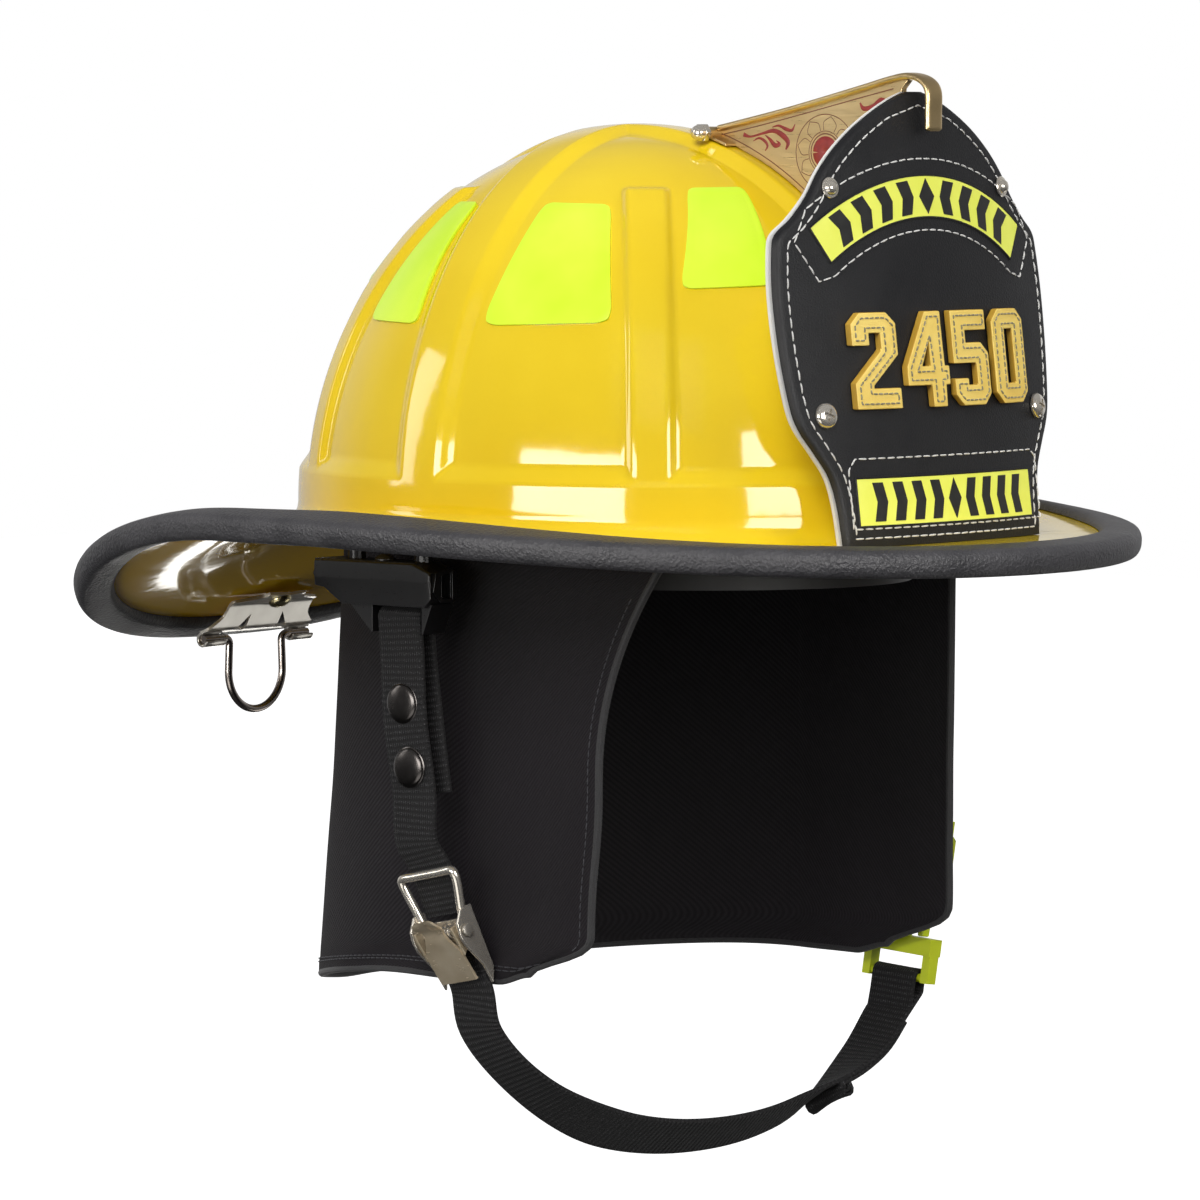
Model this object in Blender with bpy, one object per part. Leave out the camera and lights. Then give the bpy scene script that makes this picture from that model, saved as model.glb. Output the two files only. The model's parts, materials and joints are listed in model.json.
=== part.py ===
"""Traditional structural fire helmet: shell, brim trim, front shield, suspension, drape and chin strap.

Units are metres. +Z is up, the front of the helmet faces -Y and the wearer's right is -X.
The origin is the centre of the headband's plane, level with the middle of the brim's sides.
"""

import math

import bmesh
import bpy
from mathutils import Vector

MM = 0.001

# Driving dimensions -------------------------------------------------------------------------
DOME_A = 103 * MM          # outer half width of the dome at its base
DOME_B = 125 * MM          # outer half length of the dome at its base
DOME_H = 128 * MM          # outer height of the dome over the origin
BASE_Z = -8 * MM           # height at which the dome's fillet meets the brim
SHELL_T = 3 * MM           # wall of dome and brim
PANEL_DEPTH = 3 * MM       # how far the panels lie under the ribs
PANEL_LOW = 11 * MM        # lower end of the panels' bottom slope
PANEL_HIGH = 17 * MM       # upper end of that slope
DIAGONAL_RIBS = (52.8, 127.2, -127.2, -52.8)
DIAGONAL_TOP = 58          # elevation angle at which the diagonal ribs end

RIM_A = 144.5 * MM         # half width of the brim's edge
RIM_FRONT = 175 * MM       # reach of the brim in front of the origin
RIM_REAR = 196 * MM        # reach of the tail behind it
RIM_SIDE_Z = -4.6 * MM     # height of the brim's edge at the sides
FRONT_DROP = 7.6 * MM      # how much lower the front edge is
TAIL_DROP = 45.8 * MM      # how much lower the tail's edge is
TAIL_START = 60 * MM       # where the tail starts to fall
SIDE_LIFT = 5 * MM         # how much higher the brim meets the dome at the sides
ROLL = 4.6 * MM            # how far the brim bulges up before its side edges turn down

TRIM_DEPTH = 14 * MM
TRIM_T = 9.5 * MM
TRIM_LIP = 3 * MM          # how far the trim stands out past the brim's edge
GAP = 0.35 * MM            # clearance between fitted pieces

WEB_W = 19 * MM            # webbing width
WEB_T = 1.4 * MM           # webbing thickness
SIDE_X = 104 * MM          # distance of the strap line from the middle plane
BAR_Y = 11 * MM            # middle of the strap brackets' bars
BAR_Z = -34 * MM           # height of those bars, the chin strap's swing axis
BAR_R = 1.8 * MM

SHIELD_T = 3 * MM          # leather of the front shield
SHIELD_LOW = -8 * MM
SHIELD_HIGH = 138 * MM

RING_Y = 180.4 * MM        # the hanging ring's pivot
RING_Z = -54.3 * MM
RING_HALF = 13.8 * MM
RING_WIRE = 1.4 * MM

THETA_STEPS = 90


# Scene and materials -----------------------------------------------------------------------
for old in list(bpy.data.objects):
    bpy.data.objects.remove(old, do_unlink=True)

COLOURS = {
    "shell_yellow": ((0.90, 0.68, 0.04), 0.12, 0.0),
    "trim_black": ((0.06, 0.06, 0.065), 0.75, 0.0),
    "foam_grey": ((0.35, 0.35, 0.33), 0.9, 0.0),
    "cap_black": ((0.03, 0.03, 0.03), 0.4, 0.0),
    "pad_black": ((0.03, 0.03, 0.03), 0.95, 0.0),
    "webbing_black": ((0.02, 0.02, 0.02), 0.9, 0.0),
    "drape_black": ((0.015, 0.012, 0.015), 0.95, 0.0),
    "bracket_black": ((0.02, 0.02, 0.022), 0.35, 0.0),
    "buckle_lime": ((0.62, 0.72, 0.03), 0.4, 0.0),
    "nickel": ((0.70, 0.67, 0.60), 0.2, 1.0),
    "brass": ((0.72, 0.55, 0.30), 0.3, 1.0),
    "leather_black": ((0.025, 0.025, 0.027), 0.5, 0.0),
    "leather_white": ((0.80, 0.80, 0.77), 0.7, 0.0),
    "leather_gold": ((0.80, 0.58, 0.13), 0.45, 0.0),
    "reflective_lime": ((0.75, 0.95, 0.08), 0.35, 0.0),
}
MATERIALS = {}
for name, (colour, roughness, metallic) in COLOURS.items():
    material = bpy.data.materials.new(name)
    material.use_nodes = True
    shader = material.node_tree.nodes["Principled BSDF"]
    shader.inputs["Base Color"].default_value = (*colour, 1)
    shader.inputs["Roughness"].default_value = roughness
    shader.inputs["Metallic"].default_value = metallic
    MATERIALS[name] = material


# Mesh helpers ------------------------------------------------------------------------------
def make(name, verts, faces, material, pivot=(0, 0, 0), smooth=True):
    """One object from world-space points, with its origin at pivot and its faces pointing out."""
    pivot = Vector(pivot)
    mesh = bpy.data.meshes.new(name)
    mesh.from_pydata([Vector(v) - pivot for v in verts], [], faces)
    bm = bmesh.new()
    bm.from_mesh(mesh)
    bmesh.ops.remove_doubles(bm, verts=bm.verts, dist=1e-6)
    bmesh.ops.recalc_face_normals(bm, faces=bm.faces)
    bm.to_mesh(mesh)
    bm.free()
    if smooth:
        mesh.shade_smooth()
        mesh.set_sharp_from_angle(angle=math.radians(35))
    obj = bpy.data.objects.new(name, mesh)
    obj.location = pivot
    bpy.context.collection.objects.link(obj)
    mesh.materials.append(MATERIALS[material])
    return obj


def helper(obj):
    """A cutter or an added block: seen as wire, left out of the model."""
    obj.hide_render = True
    obj.display_type = "WIRE"
    return obj


def combine(obj, other, operation):
    """Adds a Boolean of obj with a helper object, which sits where it was made."""
    helper(other)
    modifier = obj.modifiers.new(other.name, "BOOLEAN")
    modifier.operation = operation
    modifier.object = other
    return obj


def loft(rings, closed_path=False, caps=True):
    """Points and faces of a skin through closed rings of equal length."""
    count = len(rings[0])
    verts = [p for ring in rings for p in ring]
    faces = []
    last = len(rings) if closed_path else len(rings) - 1
    for i in range(last):
        a, b = i * count, (i + 1) % len(rings) * count
        faces += [(a + j, a + (j + 1) % count, b + (j + 1) % count, b + j) for j in range(count)]
    if caps and not closed_path:
        faces.append(tuple(range(count))[::-1])
        faces.append(tuple(range((len(rings) - 1) * count, len(rings) * count)))
    return verts, faces


def slab(outer, inner):
    """Closed skin between two equal grids of points, with a wall round their edge."""
    rows, cols = len(outer), len(outer[0])
    verts = [p for row in outer for p in row] + [p for row in inner for p in row]
    base = rows * cols
    faces = []
    for i in range(rows - 1):
        for j in range(cols - 1):
            q = (i * cols + j, i * cols + j + 1, (i + 1) * cols + j + 1, (i + 1) * cols + j)
            faces.append(q)
            faces.append(tuple(base + k for k in reversed(q)))
    edge = [(0, j) for j in range(cols)] + [(i, cols - 1) for i in range(1, rows)]
    edge += [(rows - 1, j) for j in range(cols - 2, -1, -1)] + [(i, 0) for i in range(rows - 2, 0, -1)]
    ids = [i * cols + j for i, j in edge]
    for k, p in enumerate(ids):
        q = ids[(k + 1) % len(ids)]
        faces.append((q, p, base + p, base + q))
    return verts, faces


def box(centre, size, axes=None):
    """Points and faces of a block, optionally along three given directions."""
    axes = axes or (Vector((1, 0, 0)), Vector((0, 1, 0)), Vector((0, 0, 1)))
    half = [Vector(a) * s / 2 for a, s in zip(axes, size)]
    c = Vector(centre)
    rings = [[c + k * half[2] + i * half[0] + j * half[1] for i, j in ((-1, -1), (1, -1), (1, 1), (-1, 1))]
             for k in (-1, 1)]
    return loft(rings)


def prism(outline, place, low, high):
    """Extruded outline: place(u, v, w) gives the world point of a point (u, v) at height w."""
    return loft([[place(u, v, w) for u, v in outline] for w in (low, high)])


def turned(profile, centre, axis, sides=20):
    """Solid of revolution: profile is (radius, height) from one end to the other along axis."""
    axis = Vector(axis).normalized()
    side = axis.orthogonal().normalized()
    up = axis.cross(side)
    rings = []
    for radius, height in profile:
        ring = []
        for k in range(sides):
            t = 2 * math.pi * k / sides
            ring.append(Vector(centre) + axis * height + (side * math.cos(t) + up * math.sin(t)) * radius)
        rings.append(ring)
    return loft(rings)


def tube(path, radius, sides=10):
    """Round bar along a list of points, with a steady frame and flat ends."""
    points = [Vector(p) for p in path]
    rings = []
    normal = None
    for i, p in enumerate(points):
        ahead = points[min(i + 1, len(points) - 1)] - points[max(i - 1, 0)]
        ahead.normalize()
        normal = ahead.orthogonal() if normal is None else normal - ahead * normal.dot(ahead)
        normal.normalize()
        other = ahead.cross(normal)
        angles = [2 * math.pi * k / sides for k in range(sides)]
        rings.append([p + (normal * math.cos(t) + other * math.sin(t)) * radius for t in angles])
    return loft(rings)


def ribbon(path, sides, width, thickness):
    """Flat strap along a path: sides gives the width direction at each point."""
    points = [Vector(p) for p in path]
    rings = []
    for i, p in enumerate(points):
        ahead = (points[min(i + 1, len(points) - 1)] - points[max(i - 1, 0)]).normalized()
        across = Vector(sides[i])
        across = (across - ahead * across.dot(ahead)).normalized() * width / 2
        out = ahead.cross(across).normalized() * thickness / 2
        rings.append([p - across - out, p + across - out, p + across + out, p - across + out])
    return loft(rings)


def smooth_path(points, steps):
    """Catmull-Rom curve through hand-chosen points, steps pieces between each two."""
    pts = [Vector(p) for p in points]
    pts = [pts[0] * 2 - pts[1]] + pts + [pts[-1] * 2 - pts[-2]]
    out = []
    for i in range(1, len(pts) - 2):
        a, b, c, d = pts[i - 1:i + 3]
        for k in range(steps):
            t = k / steps
            out.append(0.5 * (2 * b + (c - a) * t + (2 * a - 5 * b + 4 * c - d) * t * t
                              + (3 * b - a - 3 * c + d) * t ** 3))
    return out + [pts[-2]]


def step(low, high, value):
    """Smooth step from 0 at low to 1 at high."""
    t = min(1, max(0, (value - low) / (high - low)))
    return t * t * (3 - 2 * t)


def power(value, exponent):
    return math.copysign(abs(value) ** exponent, value)


# Dome and brim surfaces --------------------------------------------------------------------
def dome(theta, v, offset=0.0, a=DOME_A, b=DOME_B, h=DOME_H):
    """Point of the dome: theta in degrees from the front to the wearer's right, v is elevation."""
    t, e = math.radians(theta), math.radians(v)
    p = Vector((-a * math.cos(e) * math.sin(t), -b * math.cos(e) * math.cos(t), h * math.sin(e)))
    n = Vector((p.x / a ** 2, p.y / b ** 2, p.z / h ** 2)).normalized()
    return p + n * offset


def rib_height(theta, v):
    """How high the surface stands over the panels, from 0 to PANEL_DEPTH."""
    p = dome(theta, v)
    ridge = 1 - step(6 * MM, 12 * MM, abs(p.x))
    side = 1 - step(7 * MM, 14 * MM, abs(p.y - 8 * MM))
    height = max(ridge, side, 1 - step(PANEL_LOW, PANEL_HIGH, p.z))
    for centre in DIAGONAL_RIBS:
        turn = math.radians((theta - centre + 180) % 360 - 180)
        if abs(turn) > 0.6 or v > DIAGONAL_TOP + 4:
            continue
        t = math.radians(theta)
        along = math.hypot(DOME_A * math.cos(t), DOME_B * math.sin(t)) * math.cos(math.radians(v))
        rib = 1 - step(6 * MM, 9 * MM, abs(turn) * along)
        height = max(height, 0.8 * rib * (1 - step(DIAGONAL_TOP - 2, DIAGONAL_TOP + 2, v)))
    return PANEL_DEPTH * height


def rim(theta):
    """Edge of the brim."""
    t = math.radians(theta)
    s, c = math.sin(t), math.cos(t)
    n, reach = (2.1, RIM_FRONT) if c > 0 else (2.75, RIM_REAR)
    x, y = -RIM_A * power(s, 2 / n), -reach * power(c, 2 / n)
    ahead = max(0, (20 * MM - y) / (20 * MM + RIM_FRONT))
    behind = max(0, (y - TAIL_START) / (RIM_REAR - TAIL_START))
    return Vector((x, y, RIM_SIDE_Z - FRONT_DROP * ahead ** 1.3 - TAIL_DROP * behind ** 2.1))


def base_z(theta):
    """Height at which the dome ends, a little higher at the sides."""
    return BASE_Z + SIDE_LIFT * math.sin(math.radians(theta)) ** 6


def brim(theta, s):
    """Middle surface of the brim from the dome's fillet (s = 0) to its edge (s = 1)."""
    t = math.radians(theta)
    foot = 6 * MM
    start = Vector((-(DOME_A + foot) * math.sin(t), -(DOME_B + foot) * math.cos(t), base_z(theta) - SHELL_T / 2))
    end = rim(theta)
    bend = 0.9 - 0.6 * step(-150 * MM, -40 * MM, end.y) - 0.55 * step(60 * MM, 150 * MM, end.y)
    side = step(-165 * MM, -10 * MM, end.y) * (1 - step(110 * MM, 180 * MM, end.y))
    rise, fall = max(s, 1e-3) / 0.55, max(1 - s, 1e-3) / 0.4
    p = start.lerp(end, s)
    p.z = start.z + (end.z - start.z) * ((1 - bend) * s + bend * s * s)
    p.z += ROLL * side * (rise ** -6 + fall ** -6) ** (-1 / 6)
    return p


def brim_frame(theta, s):
    """Outward and upward directions of the brim at a point, in its radial plane."""
    ahead = (brim(theta, min(s + 0.01, 1.0)) - brim(theta, s - 0.01)).normalized()
    flat = Vector((ahead.x, ahead.y, 0)).normalized()
    return ahead, flat * -ahead.z + Vector((0, 0, 1)) * flat.dot(ahead)


ANGLES = [360 * k / THETA_STEPS for k in range(THETA_STEPS)]


def pole_cap(rings, low, high):
    """Closed skin through rings, ended by a point at each end."""
    verts, faces = loft(rings, caps=False)
    count = len(rings[0])
    verts += [low, high]
    first, second = len(verts) - 2, len(verts) - 1
    last = (len(rings) - 1) * count
    faces += [(first, j, (j + 1) % count) for j in range(count)]
    faces += [(second, last + (j + 1) % count, last + j) for j in range(count)]
    return verts, faces


def make_shell():
    rings = []
    for v in (84, 78, 71, 64, 59, 54, 47, 40, 33, 26, 19, 13, 8, 5):
        rings.append([dome(t, v, rib_height(t, v) - PANEL_DEPTH) for t in ANGLES])
    for drop, out in ((0, 0), (4, 0.6), (6.8, 2.4)):
        a, b = DOME_A + out * MM, DOME_B + out * MM
        rings.append([Vector((-a * math.sin(math.radians(t)), -b * math.cos(math.radians(t)), base_z(t) * drop / 8))
                      for t in ANGLES])
    for s in (0, 0.25, 0.5, 0.72, 0.86, 1):
        rings.append([brim(t, s) + brim_frame(t, s)[1] * SHELL_T / 2 for t in ANGLES])
    for s in (1, 0.8, 0.5, 0.25):
        rings.append([brim(t, s) - brim_frame(t, s)[1] * SHELL_T / 2 for t in ANGLES])
    a, b = DOME_A - SHELL_T, DOME_B - SHELL_T
    rings.append([Vector((-a * math.sin(math.radians(t)), -b * math.cos(math.radians(t)), base_z(t) - SHELL_T))
                  for t in ANGLES])
    inner = PANEL_DEPTH + SHELL_T
    for v in (4, 20, 36, 52, 68, 80):
        low = SHELL_T if v == 4 else inner
        rings.append([dome(t, v, -low) for t in ANGLES])
    top = Vector((0, 0, DOME_H))
    return make("shell", *pole_cap(rings, top, top - Vector((0, 0, inner))), "shell_yellow")


def make_trim():
    """U-shaped rubber channel pressed over the brim's edge."""
    back, lip, half, slot = TRIM_LIP - TRIM_DEPTH, TRIM_LIP, TRIM_T / 2, SHELL_T / 2 + 2 * GAP
    section = [(back, -slot), (back, -half * 0.55), (back + 2.5 * MM, -half), (0, -half),
               (lip * 0.8, -half * 0.6), (lip, 0), (lip * 0.8, half * 0.6), (0, half),
               (back + 2.5 * MM, half), (back, half * 0.55), (back, slot), (GAP, slot), (GAP, -slot)]
    rings = []
    for t in ANGLES:
        ahead = (rim(t) - brim(t, 0.7)).normalized()
        flat = Vector((ahead.x, ahead.y, 0)).normalized()
        up = flat * -ahead.z + Vector((0, 0, 1)) * flat.dot(ahead)
        rings.append([rim(t) + ahead * s + up * n for s, n in section])
    return make("edge_trim", *loft(rings, closed_path=True), "trim_black")


def bowl(name, a, b, h, wall, low, material, levels=9, steps=48):
    """Open half-ellipsoid shell standing over the head."""
    angles = [360 * k / steps for k in range(steps)]
    start = math.degrees(math.asin(low / h))
    marks = [start + (84 - start) * (1 - k / (levels - 1)) for k in range(levels)]
    outer = [[dome(t, v, 0, a, b, h) for t in angles] for v in marks]
    inner = [[dome(t, v, 0, a - wall, b - wall, h - wall) for t in angles] for v in reversed(marks)]
    for ring in inner[:1]:
        for p in ring:
            p.z = low
    return make(name, *pole_cap(outer + inner, Vector((0, 0, h)), Vector((0, 0, h - wall))), material)


# Suspension inside -------------------------------------------------------------------------
BAND_A, BAND_B = 79 * MM, 100 * MM
BAND_LOW, BAND_HIGH = -24 * MM, 5 * MM
NAPE_GAP = 24               # half angle left open for the ratchet at the back


def band(name, a, b, low, high, wall, start, end, steps, material):
    """Upright strip along part of an ellipse."""
    angles = [start + (end - start) * k / steps for k in range(steps + 1)]

    def wall_grid(grow):
        return [[Vector((-(a + grow) * math.sin(math.radians(t)), -(b + grow) * math.cos(math.radians(t)), z))
                 for t in angles] for z in (low, high)]
    return make(name, *slab(wall_grid(wall / 2), wall_grid(-wall / 2)), material)


def make_crown_straps():
    """Three webbing straps over the head, stacked where they cross."""
    for k, turn in enumerate((0, 60, 120)):
        lift = k * 2.8 * MM
        a, b, h = 80.5 * MM, 101 * MM, 98 * MM + lift
        path, sides = [], []
        for i in range(25):
            e = math.radians(4 + 172 * i / 24)
            t = math.radians(turn)
            path.append((-a * math.cos(e) * math.sin(t), -b * math.cos(e) * math.cos(t), h * math.sin(e)))
            sides.append((-math.cos(t), math.sin(t), 0))
        make(f"crown_strap_{k + 1}", *ribbon(path, sides, WEB_W, WEB_T), "webbing_black")


RATCHET_Y = 93 * MM        # the adjuster's middle, behind the nape
RATCHET_Z = -12 * MM
PINION_R = 5 * MM


def make_ratchet():
    """Nape adjuster: housing tray, knob on a pinion, and two racks that the pinion drives."""
    def place(u, v, w):
        return Vector((u, RATCHET_Y + w, RATCHET_Z + v))

    def rounded(width, height, r, steps=5):
        points = []
        for cx, cy, start in ((1, 1, 0), (-1, 1, 90), (-1, -1, 180), (1, -1, 270)):
            for k in range(steps + 1):
                t = math.radians(start + 90 * k / steps)
                points.append((cx * (width / 2 - r) + r * math.cos(t), cy * (height / 2 - r) + r * math.sin(t)))
        return points
    tray = make("ratchet_housing", *prism(rounded(60 * MM, 30 * MM, 9 * MM), place, -3.5 * MM, 5 * MM), "cap_black")
    slot = make("ratchet_slot", *box((0, RATCHET_Y + 1.6 * MM, RATCHET_Z), (80 * MM, 3.2 * MM, 16 * MM)), "cap_black")
    bore = make("ratchet_bore", *turned([(6.5 * MM, -1 * MM), (6.5 * MM, 9 * MM)],
                                        (0, RATCHET_Y, RATCHET_Z), (0, 1, 0)), "cap_black")
    combine(tray, slot, "DIFFERENCE")
    combine(tray, bore, "DIFFERENCE")
    teeth, ring = 12, []
    for k in range(teeth * 2):
        t = math.pi * k / teeth
        ring.append((PINION_R + (0.7 if k % 2 else -0.9) * MM, t))
    outline = [(r * math.cos(t), r * math.sin(t)) for r, t in ring]
    verts, faces = prism(outline, place, 0.3 * MM, 2.9 * MM)
    make("ratchet_pinion", verts, faces, "bracket_black", (0, RATCHET_Y, RATCHET_Z))
    shaft = turned([(3 * MM, 3.2 * MM), (3 * MM, 5.6 * MM), (13 * MM, 5.6 * MM), (13.5 * MM, 6.6 * MM),
                    (12 * MM, 12 * MM), (10.5 * MM, 12.8 * MM)], (0, RATCHET_Y, RATCHET_Z), (0, 1, 0), 24)
    make("ratchet_knob", *shaft, "bracket_black", (0, RATCHET_Y, RATCHET_Z))
    for side, name in ((1, "rack_left"), (-1, "rack_right")):
        # the left rack passes over the pinion and the right one under it
        level = side * (PINION_R + 1.6 * MM)
        centre = (side * 13 * MM, RATCHET_Y + 1.6 * MM, RATCHET_Z + level)
        make(name, *box(centre, (36 * MM, 2.4 * MM, 1.4 * MM)), "cap_black", centre)


def make_pads():
    """Headband with a brow pad in front and a nape pad behind."""
    band("headband", BAND_A, BAND_B, BAND_LOW, BAND_HIGH, 1.8 * MM, -180 + NAPE_GAP, 180 - NAPE_GAP, 44, "cap_black")
    band("brow_pad", BAND_A - 4 * MM, BAND_B - 4 * MM, -22 * MM, 4 * MM, 5 * MM, -62, 62, 20, "pad_black")
    band("nape_pad", BAND_A - 4 * MM, RATCHET_Y - 7.5 * MM, -26 * MM, 2 * MM, 5 * MM, 180 - 22, 180 + 22, 8, "pad_black")


# Ear and neck drape ------------------------------------------------------------------------
DRAPE_T = 2.4 * MM


DRAPE_HALF = 86 * MM        # the straight cheeks' distance from the middle plane
DRAPE_TOP = -4 * MM


def drape_plan(d, f):
    """Plan point at length d from the nape towards either cheek; f is 0 at the top, 1 at the hem."""
    half, reach = DRAPE_HALF + 1.5 * MM * f, (108 + 13 * f) * MM
    turn = abs(d)
    if turn < 90:
        t = math.radians(turn)
        return Vector((-math.copysign(half * math.sin(t), d), reach * math.cos(t), 0))
    return Vector((-math.copysign(half, d), -(turn - 90) * MM, 0))


def make_drape():
    """Open curtain with straight cheeks and a round back, longer at the nape."""
    columns, rows = 44, 9

    def grid(grow):
        out = []
        for i in range(rows + 1):
            f = i / rows
            row = []
            for j in range(columns + 1):
                u = 2 * j / columns - 1                       # -1 left cheek, 0 nape, 1 right cheek
                corner = 27 * step(0.88, 1, f) ** 2
                if u > 0:
                    edge = 58 + 26 * max(0, 1 - 2 * f) ** 2 - 4 * step(0.55, 0.9, f) - corner
                else:
                    edge = 68 - 2.5 * f - corner
                d = u * (90 + edge)
                a, b = drape_plan(d - 0.5, f), drape_plan(d + 0.5, f)
                out_of_it = Vector((0, 0, 1)).cross(b - a).normalized()
                p = drape_plan(d, f) - out_of_it * grow
                cheek = (15.5 if u > 0 else 10.5) * step(0.05, 0.7, abs(u)) + 3 * step(0.9, 1, abs(u))
                top, bottom = DRAPE_TOP - 10 * MM * step(0.55, 0.75, abs(u)), (-169 + cheek) * MM
                row.append(Vector((p.x, p.y, top + (bottom - top) * f)))
            out.append(row)
        return out
    make("ear_neck_drape", *slab(grid(DRAPE_T / 2), grid(-DRAPE_T / 2)), "drape_black")


# Strap brackets under the brim -------------------------------------------------------------
BRACKET_LOW, BRACKET_HIGH = -30 * MM, -15.5 * MM
BRACKET_FRONT, BRACKET_REAR = -6 * MM, 46 * MM
BRACKET_IN, BRACKET_OUT = -6 * MM, 6.5 * MM


def make_bracket(side, word):
    """Plastic block with a webbing bar between two cheeks; side is -1 for the wearer's right."""
    def place(u, v, w):
        return Vector((side * (SIDE_X + w), u, v))
    block = [(BRACKET_FRONT + 3 * MM, BRACKET_LOW), (BRACKET_REAR - 12 * MM, BRACKET_LOW),
             (BRACKET_REAR - 4 * MM, BRACKET_LOW + 5 * MM), (BRACKET_REAR, BRACKET_LOW + 5.5 * MM),
             (BRACKET_REAR, BRACKET_HIGH), (BRACKET_FRONT + 8 * MM, BRACKET_HIGH),
             (BRACKET_FRONT, BRACKET_HIGH - 3 * MM), (BRACKET_FRONT, BRACKET_LOW + 3 * MM)]
    body = make(f"bracket_{word}", *prism(block, place, BRACKET_IN, BRACKET_OUT), "bracket_black", smooth=False)
    for name, root, tip in (("rear", 33 * MM, 22.5 * MM), ("front", -4.5 * MM, -0.5 * MM)):
        inner = 22 * MM if name == "rear" else 0
        outline = [(root, BRACKET_LOW + 1 * MM), (tip, BAR_Z - 5 * MM), (inner, BAR_Z - 5 * MM),
                   (inner, BRACKET_LOW + 1 * MM)]
        cheek = make(f"cheek_{name}_{word}", *prism(outline, place, -6 * MM, 4.5 * MM), "bracket_black")
        combine(body, cheek, "UNION")
    bar = turned([(BAR_R, 0), (BAR_R, 23 * MM)], (side * SIDE_X, BAR_Y - 11.4 * MM, BAR_Z), (0, 1, 0), 12)
    combine(body, make(f"bar_{word}", *bar, "bracket_black"), "UNION")
    for k, y in enumerate((4 * MM, 34 * MM)):
        post = turned([(3 * MM, -1 * MM), (3 * MM, 7.6 * MM)], (side * 103 * MM, y, BRACKET_HIGH), (0, 0, 1), 12)
        combine(body, make(f"post_{k}_{word}", *post, "bracket_black"), "UNION")
    hole = turned([(2.35 * MM, -16 * MM), (2.35 * MM, 2 * MM)],
                  (side * (SIDE_X - 1 * MM), BRACKET_REAR, -21 * MM), (0, 1, 0), 12)
    combine(body, make(f"pin_hole_{word}", *hole, "bracket_black"), "DIFFERENCE")
    recess = [(-3 * MM, -27 * MM), (1.5 * MM, -27 * MM), (4.5 * MM, -24 * MM), (3 * MM, -20 * MM), (-3 * MM, -18.5 * MM)]
    socket = make(f"recess_{word}", *prism(recess, lambda a, b, c: place(c, b, a),
                                           BRACKET_FRONT - 1 * MM, BRACKET_FRONT + 4 * MM), "bracket_black")
    combine(body, socket, "DIFFERENCE")
    pin = turned([(2 * MM, -15 * MM), (2 * MM, 6 * MM), (1.5 * MM, 6.6 * MM)],
                 (side * (SIDE_X - 1 * MM), BRACKET_REAR, -21 * MM), (0, 1, 0), 12)
    make(f"bracket_pin_{word}", *pin, "nickel")


# Chin strap loop ---------------------------------------------------------------------------
SWING = (0, BAR_Y, BAR_Z)   # the whole loop swings about the line through both bars
LOOP_R = BAR_R + GAP + WEB_T / 2
SLIDE_TOP = Vector((-103 * MM, 3 * MM, -118.5 * MM))
SLIDE_DOWN = Vector((0.28, -0.22, -0.935)).normalized()
SLIDE_WIDE = (Vector((0, 1, 0)) - SLIDE_DOWN * SLIDE_DOWN.y).normalized()
SLIDE_OUT = SLIDE_WIDE.cross(SLIDE_DOWN).normalized()
BUCKLE_LOW = Vector((94.5 * MM, -38.5 * MM, -167 * MM))
BUCKLE_UP = Vector((0.13, -0.06, 0.99)).normalized()
BUCKLE_WIDE = (Vector((0, 1, 0)) - BUCKLE_UP * BUCKLE_UP.y).normalized()
BUCKLE_OUT = BUCKLE_WIDE.cross(BUCKLE_UP).normalized()


def slide_point(u, v, w):
    """u across the webbing, v down the strap, w outward."""
    return SLIDE_TOP + SLIDE_WIDE * u + SLIDE_DOWN * v + SLIDE_OUT * w


def buckle_point(u, v, w):
    """u across the webbing, v up the strap, w outward."""
    return BUCKLE_LOW + BUCKLE_WIDE * u + BUCKLE_UP * v + BUCKLE_OUT * w


def arc(centre, radius, start, end, steps, place):
    """Points of an arc in a plane given by place(a, b)."""
    return [place(centre[0] + radius * math.cos(math.radians(start + (end - start) * k / steps)),
                  centre[1] + radius * math.sin(math.radians(start + (end - start) * k / steps)))
            for k in range(steps + 1)]


def bar_loop(side, from_inner):
    """Half turn of webbing over a bracket's bar."""
    start, end = (0, 180) if from_inner else (180, 0)
    return arc((0, 0), LOOP_R, start, end, 8,
               lambda a, b: Vector((side * (SIDE_X - a), BAR_Y, BAR_Z + b)))


def turning(path, last):
    """Width directions that turn from straight back to the last one over the path's lower half."""
    return [Vector((0, 1, 0)).lerp(last, step(-90 * MM, -112 * MM, p.z)) for p in path]


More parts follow.
